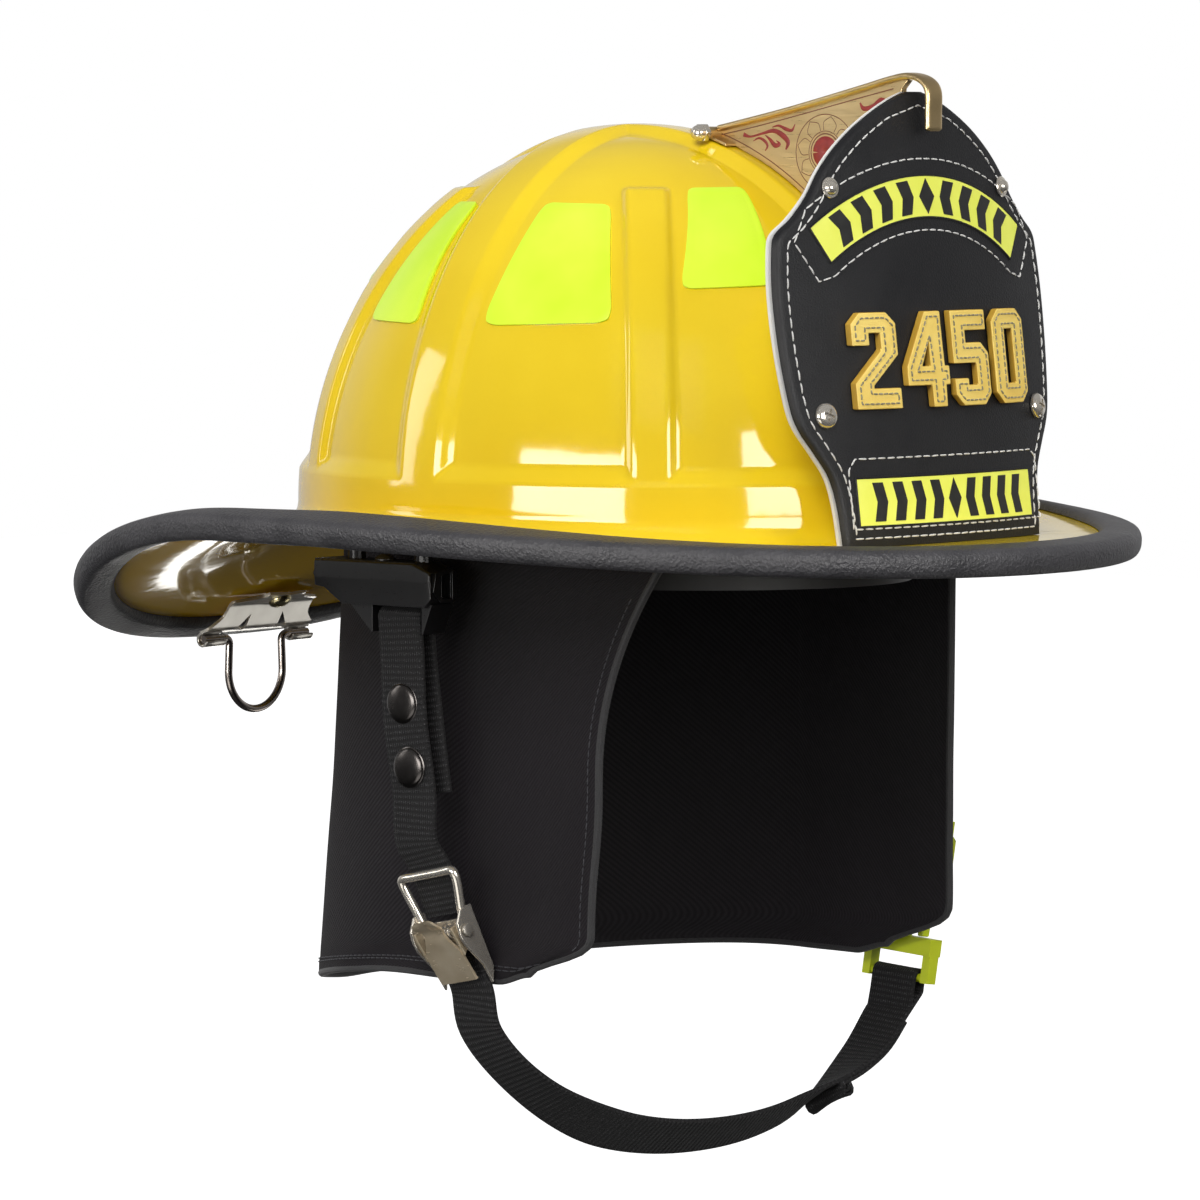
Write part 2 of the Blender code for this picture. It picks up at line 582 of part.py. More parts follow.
def make_upper_webbing():
    """Webbing from each bracket: down to the metal slide on the right, to the buckle on the left."""
    inner = SIDE_X - LOOP_R
    path = smooth_path([(-inner, 3 * MM, -92 * MM), (-inner - 0.3 * MM, 5.5 * MM, -75 * MM),
                        (-inner, 9.5 * MM, -50 * MM)], 3)
    path += bar_loop(-1, True)
    path += smooth_path([(-SIDE_X - LOOP_R, 10 * MM, -46 * MM), (-SIDE_X - 2.6 * MM, 9 * MM, -68 * MM),
                         (-SIDE_X - 2.4 * MM, 6 * MM, -90 * MM), slide_point(0, -12 * MM, 2.7 * MM),
                         slide_point(0, -3 * MM, 2.65 * MM)], 3)
    around = 1.6 * MM + GAP + WEB_T / 2
    path += arc((0, 0), around, 90, -90, 6, lambda a, b: slide_point(0, a, b))
    path.append(slide_point(0, -9 * MM, -around))
    make("strap_upper_right", *ribbon(path, turning(path, SLIDE_WIDE), WEB_W, WEB_T), "webbing_black", SWING)

    path = smooth_path([(inner, -3 * MM, -84 * MM), (inner, 3 * MM, -70 * MM), (inner, 9.5 * MM, -48 * MM)], 3)
    path += bar_loop(1, True)
    top = buckle_point(0, BUCKLE_L, 0)
    path += smooth_path([(SIDE_X + LOOP_R, 9 * MM, -45 * MM), (SIDE_X + 2.4 * MM, -2 * MM, -63 * MM),
                         (SIDE_X + 2 * MM, -16 * MM, -78 * MM), (SIDE_X + 1.5 * MM, -30 * MM, -91 * MM),
                         top + BUCKLE_UP * 12 * MM + BUCKLE_OUT * around + Vector((0, 1.6 * MM, 0)),
                         top + BUCKLE_UP * 3 * MM + BUCKLE_OUT * around], 3)
    path += arc((0, 0), around, 90, -90, 6, lambda a, b: top - BUCKLE_UP * a + BUCKLE_OUT * b)
    path.append(top + BUCKLE_UP * 7 * MM - BUCKLE_OUT * around)
    make("strap_upper_left", *ribbon(path, turning(path, BUCKLE_WIDE), WEB_W, WEB_T), "webbing_black", SWING)

    for k, (y, z) in enumerate(((9.8 * MM, -62 * MM), (6.8 * MM, -83 * MM))):
        x = -SIDE_X - 2.45 * MM - WEB_T / 2 - GAP
        cap = turned([(6.2 * MM, 0), (6.2 * MM, 0.6 * MM), (5.4 * MM, 1.5 * MM), (3 * MM, 2.2 * MM)],
                     (x, y, z), (-1, 0, 0), 20)
        make(f"snap_{k + 1}", *cap, "nickel", SWING)


PIN_V, PIN_W = 20 * MM, 3.2 * MM     # the lever's axis in the slide's own directions


def make_slide():
    """Sprung metal strap slide: wire loop and channel, lever, pin and spring."""
    loop = [slide_point(u, v, w) for u, v, w in (
        (-9.6 * MM, 17 * MM, 0.6 * MM), (-10.5 * MM, 12 * MM, 0.4 * MM), (-12.2 * MM, 5 * MM, 0), (-12.6 * MM, 1.5 * MM, 0),
        (-11.4 * MM, 0, 0), (0, 0, 0), (11.4 * MM, 0, 0), (12.6 * MM, 1.5 * MM, 0), (12.2 * MM, 5 * MM, 0),
        (10.5 * MM, 12 * MM, 0.4 * MM), (9.6 * MM, 17 * MM, 0.6 * MM))]
    frame = make("slide_frame", *tube(loop, 1.5 * MM, 8), "nickel", SWING)
    for name, u in (("rear", 11.2 * MM), ("front", -11.2 * MM)):
        outline = [(13 * MM, -2.8 * MM), (35 * MM, -2.8 * MM), (40 * MM, 0), (33 * MM, 1.2 * MM),
                   (24 * MM, 5.8 * MM), (17 * MM, 5.8 * MM), (13 * MM, 2.2 * MM)]
        low, high = u - 0.6 * MM, u + 0.6 * MM
        cheek = make(f"slide_cheek_{name}", *prism(outline, lambda a, b, c: slide_point(c, a, b), low, high), "nickel")
        combine(frame, cheek, "UNION")
    axes = (SLIDE_WIDE, SLIDE_DOWN, SLIDE_OUT)
    base = box(slide_point(0, 27 * MM, -2.3 * MM), (22.4 * MM, 20 * MM, 1.1 * MM), axes)
    combine(frame, make("slide_base", *base, "nickel"), "UNION")
    bore = turned([(1.55 * MM, -14 * MM), (1.55 * MM, 14 * MM)], slide_point(0, PIN_V, PIN_W), SLIDE_WIDE, 10)
    combine(frame, make("slide_bore", *bore, "nickel"), "DIFFERENCE")
    pin = turned([(2.1 * MM, -12.9 * MM), (2.1 * MM, -12.2 * MM), (1.2 * MM, -12.2 * MM), (1.2 * MM, 12.2 * MM),
                  (2.1 * MM, 12.2 * MM), (2.1 * MM, 12.9 * MM)], slide_point(0, PIN_V, PIN_W), SLIDE_WIDE, 12)
    make("slide_pin", *pin, "nickel", slide_point(0, PIN_V, PIN_W))

    def lever_place(a, b, c):
        return slide_point(c, PIN_V + a, PIN_W + b)
    # thumb tab, wrap over the spring, and the flat plate that presses on the webbing
    upper = [(-7 * MM, 7.4 * MM), (-4.6 * MM, 6.4 * MM), (-2 * MM, 3.6 * MM), (1.6 * MM, 3.5 * MM), (6 * MM, 2.6 * MM),
             (17 * MM, 0.4 * MM)]
    thick = 1.1 * MM
    profile = upper + [(a, b - thick) for a, b in reversed(upper)]
    lever = make("slide_lever", *prism(profile, lever_place, -8.4 * MM, 8.4 * MM), "nickel",
                 slide_point(0, PIN_V, PIN_W))
    for name, low, high in (("rear", 8.2 * MM, 9.4 * MM), ("front", -9.4 * MM, -8.2 * MM)):
        ear = [(-3 * MM, -2.6 * MM), (3.2 * MM, -2.6 * MM), (8 * MM, 2 * MM), (-2.4 * MM, 4 * MM)]
        combine(lever, make(f"lever_ear_{name}", *prism(ear, lever_place, low, high), "nickel"), "UNION")
    hole = turned([(1.55 * MM, -14 * MM), (1.55 * MM, 14 * MM)], slide_point(0, PIN_V, PIN_W), SLIDE_WIDE, 10)
    combine(lever, make("lever_bore", *hole, "nickel"), "DIFFERENCE")
    wire, turns, steps = 0.35 * MM, 7, 8
    helix = []
    for k in range(turns * steps + 1):
        t = 2 * math.pi * k / steps
        across = SLIDE_DOWN * math.cos(t) + SLIDE_OUT * math.sin(t)
        helix.append(slide_point((-5.6 + 1.6 * k / steps) * MM, PIN_V, PIN_W) + across * 1.95 * MM)
    make("slide_spring", *tube(helix, wire, 5), "nickel", slide_point(0, PIN_V, PIN_W))


def make_chin_strap():
    """Chin webbing, twisting from the side of the face to under the chin and back."""
    points = [slide_point(0, 27 * MM, -0.9 * MM), slide_point(0, 35 * MM, -0.9 * MM), slide_point(0, 42 * MM, -0.6 * MM),
              Vector((-87, -6.5, -171)) * MM, Vector((-77.5, -12, -185)) * MM, Vector((-61, -18, -198)) * MM,
              Vector((-36, -22, -208.5)) * MM, Vector((-5, -26, -213.5)) * MM, Vector((28, -30, -212.5)) * MM,
              Vector((56, -34, -204.5)) * MM, Vector((77, -36.5, -192)) * MM, Vector((88.5, -38, -179.5)) * MM,
              buckle_point(0, -5 * MM, 2.6 * MM)]
    path = smooth_path(points, 3)
    around = 1.5 * MM + GAP + WEB_T / 2
    path += arc((0, 0), around, 90, -90, 6, lambda a, b: buckle_point(0, a, b))
    path += [buckle_point(0, -6 * MM, -around), buckle_point(0, -12 * MM, -around - 0.4 * MM)]
    sides = []
    for p in path:
        chin = 1 - step(40 * MM, 92 * MM, abs(p.x))
        sides.append(SLIDE_WIDE.lerp(BUCKLE_WIDE, step(-60 * MM, 60 * MM, p.x)).lerp(Vector((0, 0.75, -0.66)), chin))
    make("chin_strap", *ribbon(path, sides, WEB_W, WEB_T), "webbing_black", SWING)


BUCKLE_L = 54 * MM
BUCKLE_W, BUCKLE_T = 29 * MM, 9.5 * MM
FEMALE_LOW, FEMALE_HIGH = 24 * MM, 50 * MM
PRONG_ROOT = 11 * MM


def make_buckle():
    """Side-release buckle: hollow half on the upper webbing, pronged half on the chin strap."""
    axes = (BUCKLE_WIDE, BUCKLE_UP, BUCKLE_OUT)

    def block(name, u, v, w):
        """Block between given ends in the buckle's own directions."""
        centre = buckle_point(sum(u) / 2, sum(v) / 2, sum(w) / 2)
        return make(name, *box(centre, (u[1] - u[0], v[1] - v[0], w[1] - w[0]), axes), "buckle_lime", SWING, False)

    half, thick = BUCKLE_W / 2, BUCKLE_T / 2
    female = block("buckle_female", (-half, half), (FEMALE_LOW, FEMALE_HIGH), (-thick, thick))
    bevel = female.modifiers.new("edges", "BEVEL")
    bevel.width, bevel.segments, bevel.limit_method = 1.2 * MM, 1, "ANGLE"
    inside = block("female_cavity", (-half + 2 * MM, half - 2 * MM), (FEMALE_LOW - 1 * MM, FEMALE_HIGH - 4 * MM),
                   (-thick + 2 * MM, thick - 2 * MM))
    combine(female, inside, "DIFFERENCE")
    window = block("female_window", (-half - 1 * MM, half + 1 * MM), (FEMALE_LOW + 5 * MM, FEMALE_HIGH - 7 * MM),
                   (-thick + 2 * MM, thick - 2 * MM))
    combine(female, window, "DIFFERENCE")
    for k, u in enumerate((-half + 1.6 * MM, half - 1.6 * MM)):
        arm = block(f"female_arm_{k}", (u - 1.6 * MM, u + 1.6 * MM), (FEMALE_HIGH - 1 * MM, BUCKLE_L + 1.4 * MM),
                    (-1.6 * MM, 1.6 * MM))
        combine(female, arm, "UNION")
    bar = turned([(1.6 * MM, -half + 1 * MM), (1.6 * MM, half - 1 * MM)], buckle_point(0, BUCKLE_L, 0), BUCKLE_WIDE, 12)
    combine(female, make("female_bar", *bar, "buckle_lime"), "UNION")

    male = block("buckle_male", (-half, half), (8 * MM, 14 * MM), (-3.2 * MM, 3.2 * MM))
    guide = block("male_guide", (-2 * MM, 2 * MM), (13 * MM, FEMALE_HIGH - 6 * MM), (-2 * MM, 2 * MM))
    combine(male, guide, "UNION")
    for k, u in enumerate((-half + 1.6 * MM, half - 1.6 * MM)):
        arm = block(f"male_arm_{k}", (u - 1.6 * MM, u + 1.6 * MM), (-1.5 * MM, 9 * MM), (-2.4 * MM, 2.4 * MM))
        combine(male, arm, "UNION")
    low_bar = turned([(1.5 * MM, -half + 1 * MM), (1.5 * MM, half - 1 * MM)], buckle_point(0, 0, 0), BUCKLE_WIDE, 12)
    combine(male, make("male_bar", *low_bar, "buckle_lime"), "UNION")

    for side, name in ((1, "prong_rear"), (-1, "prong_front")):
        # a slim stem with a wide thumb shoulder that shows in the window
        outline = [(7.2 * MM, PRONG_ROOT + 3.4 * MM), (9.6 * MM, PRONG_ROOT + 3.4 * MM), (10.2 * MM, 27 * MM),
                   (13.9 * MM, 30.5 * MM), (14.9 * MM, 36 * MM), (14.2 * MM, 42.2 * MM), (11.5 * MM, 42.5 * MM),
                   (10.4 * MM, 38 * MM), (7.6 * MM, 30 * MM)]
        verts, faces = prism(outline, lambda a, b, c: buckle_point(side * a, b, c), -2 * MM, 2 * MM)
        make(name, verts, faces, "buckle_lime", buckle_point(side * 8.4 * MM, PRONG_ROOT + 3.4 * MM, 0), False)


# Hanging ring at the tail ------------------------------------------------------------------
def make_hanger():
    """Nickel plate screwed under the tail, curled round the ends of a wire ring."""
    def place(u, v, w):
        return Vector((w, u, v))
    line = [(164.5, -37.7, 9), (167.5, -39, 11), (170, -40.1, 20), (172.5, -41.2, 21), (175.5, -45.6, 21.5),
            (178, -49.6, 26), (181.3, -51.4, 27.5)]
    top = [[Vector((x * half / 4, y, z)) * MM for x in range(-4, 5)] for y, z, half in line]
    under = [[p - Vector((0, 0.5, 0.9)) * MM for p in row] for row in top]
    plate = make("hanger_plate", *slab(top, under), "nickel", smooth=False)
    inner, outer = RING_WIRE + 0.45 * MM, RING_WIRE + 1.35 * MM
    for k, (low, high) in enumerate(((-27.3 * MM, -17.2 * MM), (17.2 * MM, 27.3 * MM))):
        curl = arc((RING_Y, RING_Z), outer, 100, -170, 12, lambda a, b: (a, b))
        curl += arc((RING_Y, RING_Z), inner, -170, 100, 12, lambda a, b: (a, b))
        combine(plate, make(f"hanger_curl_{k}", *prism(curl, place, low, high), "nickel"), "UNION")
    screw_at = Vector((0, 168.2 * MM, -40.6 * MM))
    down = Vector((0, -0.42, -0.907))
    screw = turned([(4.2 * MM, 0), (4.2 * MM, 0.8 * MM), (3 * MM, 2.1 * MM), (1.2 * MM, 2.4 * MM)], screw_at, down, 16)
    make("hanger_screw", *screw, "nickel")
    ring = [Vector((-26.5 * MM, RING_Y, RING_Z)), Vector((-17 * MM, RING_Y, RING_Z))]
    drop = 12.4 * MM
    ring += arc((-RING_HALF - 2 * MM, RING_Z - 2.5 * MM), 2.5 * MM, 100, 10, 4, lambda a, b: Vector((a, RING_Y, b)))
    ring += arc((0, RING_Z - drop), RING_HALF, 180, 360, 16, lambda a, b: Vector((a, RING_Y, b)))
    ring += arc((RING_HALF + 2 * MM, RING_Z - 2.5 * MM), 2.5 * MM, 170, 80, 4, lambda a, b: Vector((a, RING_Y, b)))
    ring += [Vector((17 * MM, RING_Y, RING_Z)), Vector((26.5 * MM, RING_Y, RING_Z))]
    make("hanger_ring", *tube(ring, RING_WIRE, 8), "nickel", (0, RING_Y, RING_Z))


# Front shield and its brass holder ---------------------------------------------------------
SHIELD_OUTLINE = ((-8, 51.5), (4, 52.3), (14, 54.5), (22, 59.5), (30, 65), (38, 67.5), (55, 69.5), (72, 70),
                  (86, 68.8), (92, 67), (97, 60.5), (104, 53.5), (112, 47.5), (119, 40.5), (126, 31), (132, 20),
                  (136, 10.5), (138, 4))


def shield(x, z, w):
    """Point over the shield's middle surface, w in front of it."""
    return Vector((x, (-136 + 0.125 * (z / MM + 8)) * MM + 1.9 * x * x - w, z))


def shield_grid(grow, w, rows=SHIELD_OUTLINE, columns=12):
    return [[shield(((half - 0.7) * MM + grow) * (2 * j / columns - 1), z * MM, w) for j in range(columns + 1)]
            for z, half in rows]


def strip_grid(points_at, columns, rows, w):
    """Grid of a curved panel: points_at(f, g) gives its x and z."""
    grid = []
    for i in range(rows + 1):
        row = []
        for j in range(columns + 1):
            x, z = points_at(j / columns, i / rows)
            row.append(shield(x, z, w))
        grid.append(row)
    return grid


# Block numerals on a 4 by 7 grid of corner points: outline, then any holes
DIGITS = {
    "2": [[(0, 4.6), (0, 6.2), (0.8, 7), (3.2, 7), (4, 6.2), (4, 3.9), (1.6, 1.7), (1.6, 1.5), (4, 1.5), (4, 0),
           (0, 0), (0, 1.9), (2.5, 4.3), (2.5, 5.5), (1.5, 5.5), (1.5, 4.6)]],
    "5": [[(0, 7), (3.9, 7), (3.9, 5.5), (1.5, 5.5), (1.5, 4.6), (3.2, 4.6), (4, 3.8), (4, 0.8), (3.2, 0), (0.8, 0),
           (0, 0.8), (0, 2), (1.5, 2), (1.5, 1.5), (2.5, 1.5), (2.5, 3.1), (0, 3.1)]],
    "0": [[(0.8, 0), (3.2, 0), (4, 0.8), (4, 6.2), (3.2, 7), (0.8, 7), (0, 6.2), (0, 0.8)],
          [(1.5, 1.5), (2.5, 1.5), (2.5, 5.5), (1.5, 5.5)]],
    "4": [[(2.3, 0), (3.7, 0), (3.7, 1.6), (4.2, 1.6), (4.2, 3), (3.7, 3), (3.7, 7), (2.1, 7), (0, 3), (0, 1.6),
           (2.3, 1.6)], [(1.5, 3), (2.3, 3), (2.3, 4.7)]],
}
NUMBER = "2450"


def make_digit(name, loops, left, low, width, height):
    """One raised numeral: filled outline with holes, thickened away from the shield."""
    bm = bmesh.new()
    for loop in loops:
        verts = [bm.verts.new((left + u * width / 4, 0, low + v * height / 7)) for u, v in loop]
        for k, vert in enumerate(verts):
            bm.edges.new((vert, verts[(k + 1) % len(verts)]))
    bmesh.ops.triangle_fill(bm, use_beauty=True, edges=bm.edges[:])
    top = bmesh.ops.extrude_face_region(bm, geom=bm.faces[:])["geom"]
    raised = {v for v in top if isinstance(v, bmesh.types.BMVert)}
    for vert in bm.verts:
        vert.co = shield(vert.co.x, vert.co.z, 4.3 * MM if vert in raised else 1.75 * MM)
    bmesh.ops.recalc_face_normals(bm, faces=bm.faces)
    mesh = bpy.data.meshes.new(name)
    bm.to_mesh(mesh)
    bm.free()
    mesh.materials.append(MATERIALS["leather_gold"])
    obj = bpy.data.objects.new(name, mesh)
    bpy.context.collection.objects.link(obj)


def make_shield():
    half = SHIELD_T / 2
    make("leather_front", *slab(shield_grid(0, half), shield_grid(0, -half + 0.4 * MM)), "leather_black")
    back = half + 0.05 * MM
    make("shield_backing", *slab(shield_grid(0.7 * MM, -back), shield_grid(0.7 * MM, -back - 1.1 * MM)), "leather_white")
    face = half + 0.3 * MM

    def arc_panel(f, g):
        t = math.radians(90 + (0.5 - f) * 68)
        r = (84.3 + 13.7 * g) * MM
        return r * math.cos(t), 13 * MM + r * math.sin(t)
    make("arc_panel", *slab(strip_grid(arc_panel, 14, 2, face + 0.8 * MM), strip_grid(arc_panel, 14, 2, face)),
         "reflective_lime")

    def lower_panel(f, g):
        return (f - 0.5) * 91 * MM, (-1.5 + 15.6 * g) * MM
    make("lower_panel", *slab(strip_grid(lower_panel, 10, 1, face + 0.8 * MM), strip_grid(lower_panel, 10, 1, face)),
         "reflective_lime")
    width, gap, height = 20 * MM, 3.6 * MM, 31 * MM
    start = 1.2 * MM - (4 * width + 3 * gap) / 2
    for k, digit in enumerate(NUMBER):
        make_digit(f"digit_{k + 1}", DIGITS[digit], start + k * (width + gap), 36 * MM, width, height)
    for side, word in ((-1, "right"), (1, "left")):
        for name, x, z, r in (("rivet", 45 * MM, 107 * MM, 3.4 * MM), ("screw", 55.5 * MM, 34.3 * MM, 4.2 * MM)):
            at = shield(side * x, z, half + 0.5 * MM)
            out = Vector((side * 3.8 * x, -1, 0.125)).normalized()
            head = turned([(r, 0), (r, 0.7 * MM), (r * 0.7, 2 * MM), (r * 0.3, 2.4 * MM)], at, out, 16)
            make(f"shield_{name}_{word}", *head, "nickel")


NUT_Y = -36 * MM            # the bolt through the holder's fork


def make_holder():
    """Brass plate on the front ridge: a fork bolted at its rear and a hook over the shield's tip."""
    def place(u, v, w):
        return Vector((w, u, v))

    def ridge(y):
        return math.sqrt(1 - (y / DOME_B) ** 2) * DOME_H

    def follow(marks, lift):
        """Points along the ridge at heights over it."""
        return [(y * MM, ridge(y * MM) + lift * MM) for y in marks]
    outline = follow(range(-100, -43, 8), 0.5) + follow((-40, -30), 1) + [
        (-30 * MM, 126.2 * MM), (-34 * MM, 126.2 * MM), (-68 * MM, 133.4 * MM), (-97 * MM, 140 * MM),
        (-112 * MM, 143.6 * MM), (-117.5 * MM, 144.2 * MM), (-124.2 * MM, 142.6 * MM), (-127.4 * MM, 139.2 * MM),
        (-127.5 * MM, 124.5 * MM), (-125.3 * MM, 124.5 * MM),
        (-125.2 * MM, 139.6 * MM), (-114.4 * MM, 139.6 * MM), (-111 * MM, 100 * MM)]
    plate = make("front_holder", *prism(outline, place, -1.4 * MM, 1.4 * MM), "brass", smooth=False)
    bead = [(-46, 128.9), (-68, 133.5), (-97, 140.1), (-112, 143.7), (-117.5, 144.3), (-124.3, 142.7),
            (-127.5, 139.2), (-127.6, 124.4), (-125.2, 124.4), (-125.3, 138.3), (-122.9, 140.7), (-117.4, 142),
            (-112, 141.4), (-97, 137.8), (-68, 131.2), (-46, 126.6)]
    flange = prism([(y * MM, z * MM) for y, z in bead], place, -3.9 * MM, 3.9 * MM)
    combine(plate, make("holder_flange", *flange, "brass"), "UNION")
    saddle = follow((-44, -40, -36, -32, -28), 0.4) + follow((-28, -32, -36, -40, -44), 4.1)
    fork = make("holder_fork", *prism(saddle, place, -7.6 * MM, 7.6 * MM), "brass")
    combine(plate, fork, "UNION")
    at = ridge(NUT_Y) + 2.2 * MM
    bolt_hole = turned([(1.3 * MM, -12 * MM), (1.3 * MM, 12 * MM)], (0, NUT_Y, at), (1, 0, 0), 12)
    combine(plate, make("holder_bore", *bolt_hole, "brass"), "DIFFERENCE")
    start = 7.6 * MM + GAP
    nut = [(3.1 * MM, start), (3.3 * MM, start + 2.4 * MM), (2.6 * MM, start + 4.3 * MM), (1.2 * MM, start + 5.2 * MM)]
    make("holder_nut", *turned(nut, (0, NUT_Y, at), (-1, 0, 0), 16), "nickel")
    shank = 0.95 * MM
    bolt = [(shank, GAP - start), (shank, start), (3.1 * MM, start), (3.1 * MM, start + 1.4 * MM),
            (2.2 * MM, start + 2.2 * MM)]
    make("holder_bolt", *turned(bolt, (0, NUT_Y, at), (1, 0, 0), 16), "nickel")


# Reflective trapezoids ---------------------------------------------------------------------
# corners as (theta, elevation), clockwise from the upper one nearest the front
TETS = (
    ((19.5, 58.3), (39.6, 58), (46.4, 36.1), (26.1, 36.8)),
    ((62.4, 53.6), (82, 54), (86, 29.4), (59.9, 30.2)),
    ((107.8, 54), (118.6, 54), (120, 29.8), (102.4, 29.4)),
    ((140.4, 58), (158, 58), (152, 36.8), (133.6, 36.1)),
)


def make_tets():
    for side, word in ((1, "right"), (-1, "left")):
        for k, corners in enumerate(TETS):
            def grid(offset, n=6):
                out = []
                for i in range(n + 1):
                    row = []
                    for j in range(n + 1):
                        a, b, c, d = (Vector(p) for p in corners)
                        p = a.lerp(b, j / n).lerp(d.lerp(c, j / n), i / n)
                        row.append(dome(side * p.x, p.y, offset - PANEL_DEPTH))
                    out.append(row)
                return out
            make(f"tetrahedron_{word}_{k + 1}", *slab(grid(0.95 * MM), grid(0.45 * MM)), "reflective_lime")


make_shell()
make_trim()
bowl("impact_liner", 95.5 * MM, 117.5 * MM, 120.5 * MM, 10 * MM, 3 * MM, "foam_grey")
bowl("inner_cap", 85 * MM, 107 * MM, 110 * MM, 1.6 * MM, 1 * MM, "cap_black")
make_crown_straps()
make_pads()
make_ratchet()
make_drape()
make_bracket(-1, "right")
make_bracket(1, "left")
make_upper_webbing()
make_slide()
make_chin_strap()
make_buckle()
make_hanger()
make_shield()
make_holder()
make_tets()
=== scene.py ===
"""Looks of the firefighter helmet: surfaces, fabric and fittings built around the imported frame.

Metres, +Z up, the front faces -Y and the wearer's right is -X, as in the frame.
"""

import json
import math
import random

import bmesh
import bpy
import numpy as np
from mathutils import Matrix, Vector, noise


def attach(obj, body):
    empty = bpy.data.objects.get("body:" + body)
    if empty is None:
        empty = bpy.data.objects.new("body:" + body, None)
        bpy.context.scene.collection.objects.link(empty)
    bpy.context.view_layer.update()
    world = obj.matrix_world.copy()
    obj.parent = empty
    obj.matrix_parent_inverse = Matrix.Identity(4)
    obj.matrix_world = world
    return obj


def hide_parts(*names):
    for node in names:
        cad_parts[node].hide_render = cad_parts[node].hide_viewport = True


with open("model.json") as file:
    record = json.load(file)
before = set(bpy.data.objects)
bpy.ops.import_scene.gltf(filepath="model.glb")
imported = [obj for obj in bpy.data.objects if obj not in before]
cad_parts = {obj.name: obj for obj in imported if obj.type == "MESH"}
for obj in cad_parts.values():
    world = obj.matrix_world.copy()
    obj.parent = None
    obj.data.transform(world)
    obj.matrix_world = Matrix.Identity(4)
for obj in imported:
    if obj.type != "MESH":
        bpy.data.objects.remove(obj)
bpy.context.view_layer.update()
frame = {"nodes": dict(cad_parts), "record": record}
MM = 0.001
ROOT = "helmet"
WELD = 1e-6

# The frame's own dimensions, in metres
DOME_A, DOME_B, DOME_H = 103 * MM, 125 * MM, 128 * MM
BASE_Z = -8 * MM
SHELL_T, PANEL_DEPTH = 3 * MM, 3 * MM
RIM_A, RIM_FRONT, RIM_REAR = 144.5 * MM, 175 * MM, 196 * MM
RIM_SIDE_Z, FRONT_DROP, TAIL_DROP, TAIL_START = -4.6 * MM, 7.6 * MM, 45.8 * MM, 60 * MM
SIDE_LIFT, ROLL, FILLET = 5 * MM, 4.6 * MM, 6 * MM
BAR_Y, BAR_Z, BAR_R = 11 * MM, -34 * MM, 1.8 * MM
SIDE_X = 104 * MM
WEB_W, WEB_T, GAP = 19 * MM, 1.4 * MM, 0.35 * MM


# Materials ---------------------------------------------------------------------------------
class Look:
    """One procedural material, with short calls for the nodes that the looks need."""

    def __init__(self, name, **settings):
        self.material = bpy.data.materials.new(name)
        self.material.use_nodes = True
        self.tree = self.material.node_tree
        self.shader = self.tree.nodes["Principled BSDF"]
        self.coords = self.tree.nodes.new("ShaderNodeTexCoord").outputs["Object"]
        for key, value in settings.items():
            socket = self.shader.inputs[key.replace("_", " ")]
            socket.default_value = (*value, 1) if isinstance(value, tuple) else value

    def node(self, kind, values=(), **settings):
        """A node with its inputs filled in order; a None is left alone and a socket is linked."""
        made = self.tree.nodes.new("ShaderNode" + kind)
        for key, value in settings.items():
            setattr(made, key, value)
        for socket, value in zip(made.inputs, values):
            if isinstance(value, bpy.types.NodeSocket):
                self.tree.links.new(value, socket)
            elif value is not None:
                socket.default_value = value
        return made

    def stretched(self, scale, source=None):
        return self.node("Mapping", [source or self.coords, None, None, scale]).outputs[0]

    def uv(self, scale):
        """Weave coordinates: x across the cloth and y along it, in metres times scale."""
        return self.stretched(scale, self.node("UVMap", uv_map="weave").outputs[0])

    def noise(self, scale, detail=3.0, rough=0.5, vector=None):
        return self.node("TexNoise", [vector or self.coords, None, scale, detail, rough]).outputs[0]

    def cells(self, scale, feature="F1", randomness=1.0):
        made = self.node("TexVoronoi", [self.coords], feature=feature)
        made.inputs["Scale"].default_value = scale
        made.inputs["Randomness"].default_value = randomness
        return made.outputs["Distance"]

    def wave(self, axis, vector, distort):
        made = self.node("TexWave", [vector, 1, distort], wave_type="BANDS", bands_direction=axis)
        return made.outputs["Fac"]

    def calc(self, operation, a, b=0.0):
        return self.node("Math", [a, b], operation=operation).outputs[0]

    def span(self, value, low, high, to_low=0.0, to_high=1.0):
        return self.node("MapRange", [value, low, high, to_low, to_high]).outputs[0]

    def blend(self, factor, a, b):
        made = self.node("Mix", data_type="RGBA")
        for index, value in ((0, factor), (6, a), (7, b)):
            if isinstance(value, bpy.types.NodeSocket):
                self.tree.links.new(value, made.inputs[index])
            else:
                made.inputs[index].default_value = (*value, 1) if isinstance(value, tuple) else value
        return made.outputs[2]

    def drive(self, socket, value):
        self.tree.links.new(value, self.shader.inputs[socket])
        return self

    def tone(self, value, dark, light, low=0.3, high=0.7):
        """Base colour that goes from dark to light as value goes from low to high."""
        return self.drive("Base Color", self.blend(self.span(value, low, high), dark, light))

    def rough(self, value, smooth, rough):
        return self.drive("Roughness", self.span(value, 0.3, 0.7, smooth, rough))

    def relief(self, height, strength, distance):
        """The material, finished with a fine relief of distance in metres."""
        made = self.node("Bump", [strength, distance])
        self.tree.links.new(height, made.inputs["Height"])
        return self.drive("Normal", made.outputs[0]).material


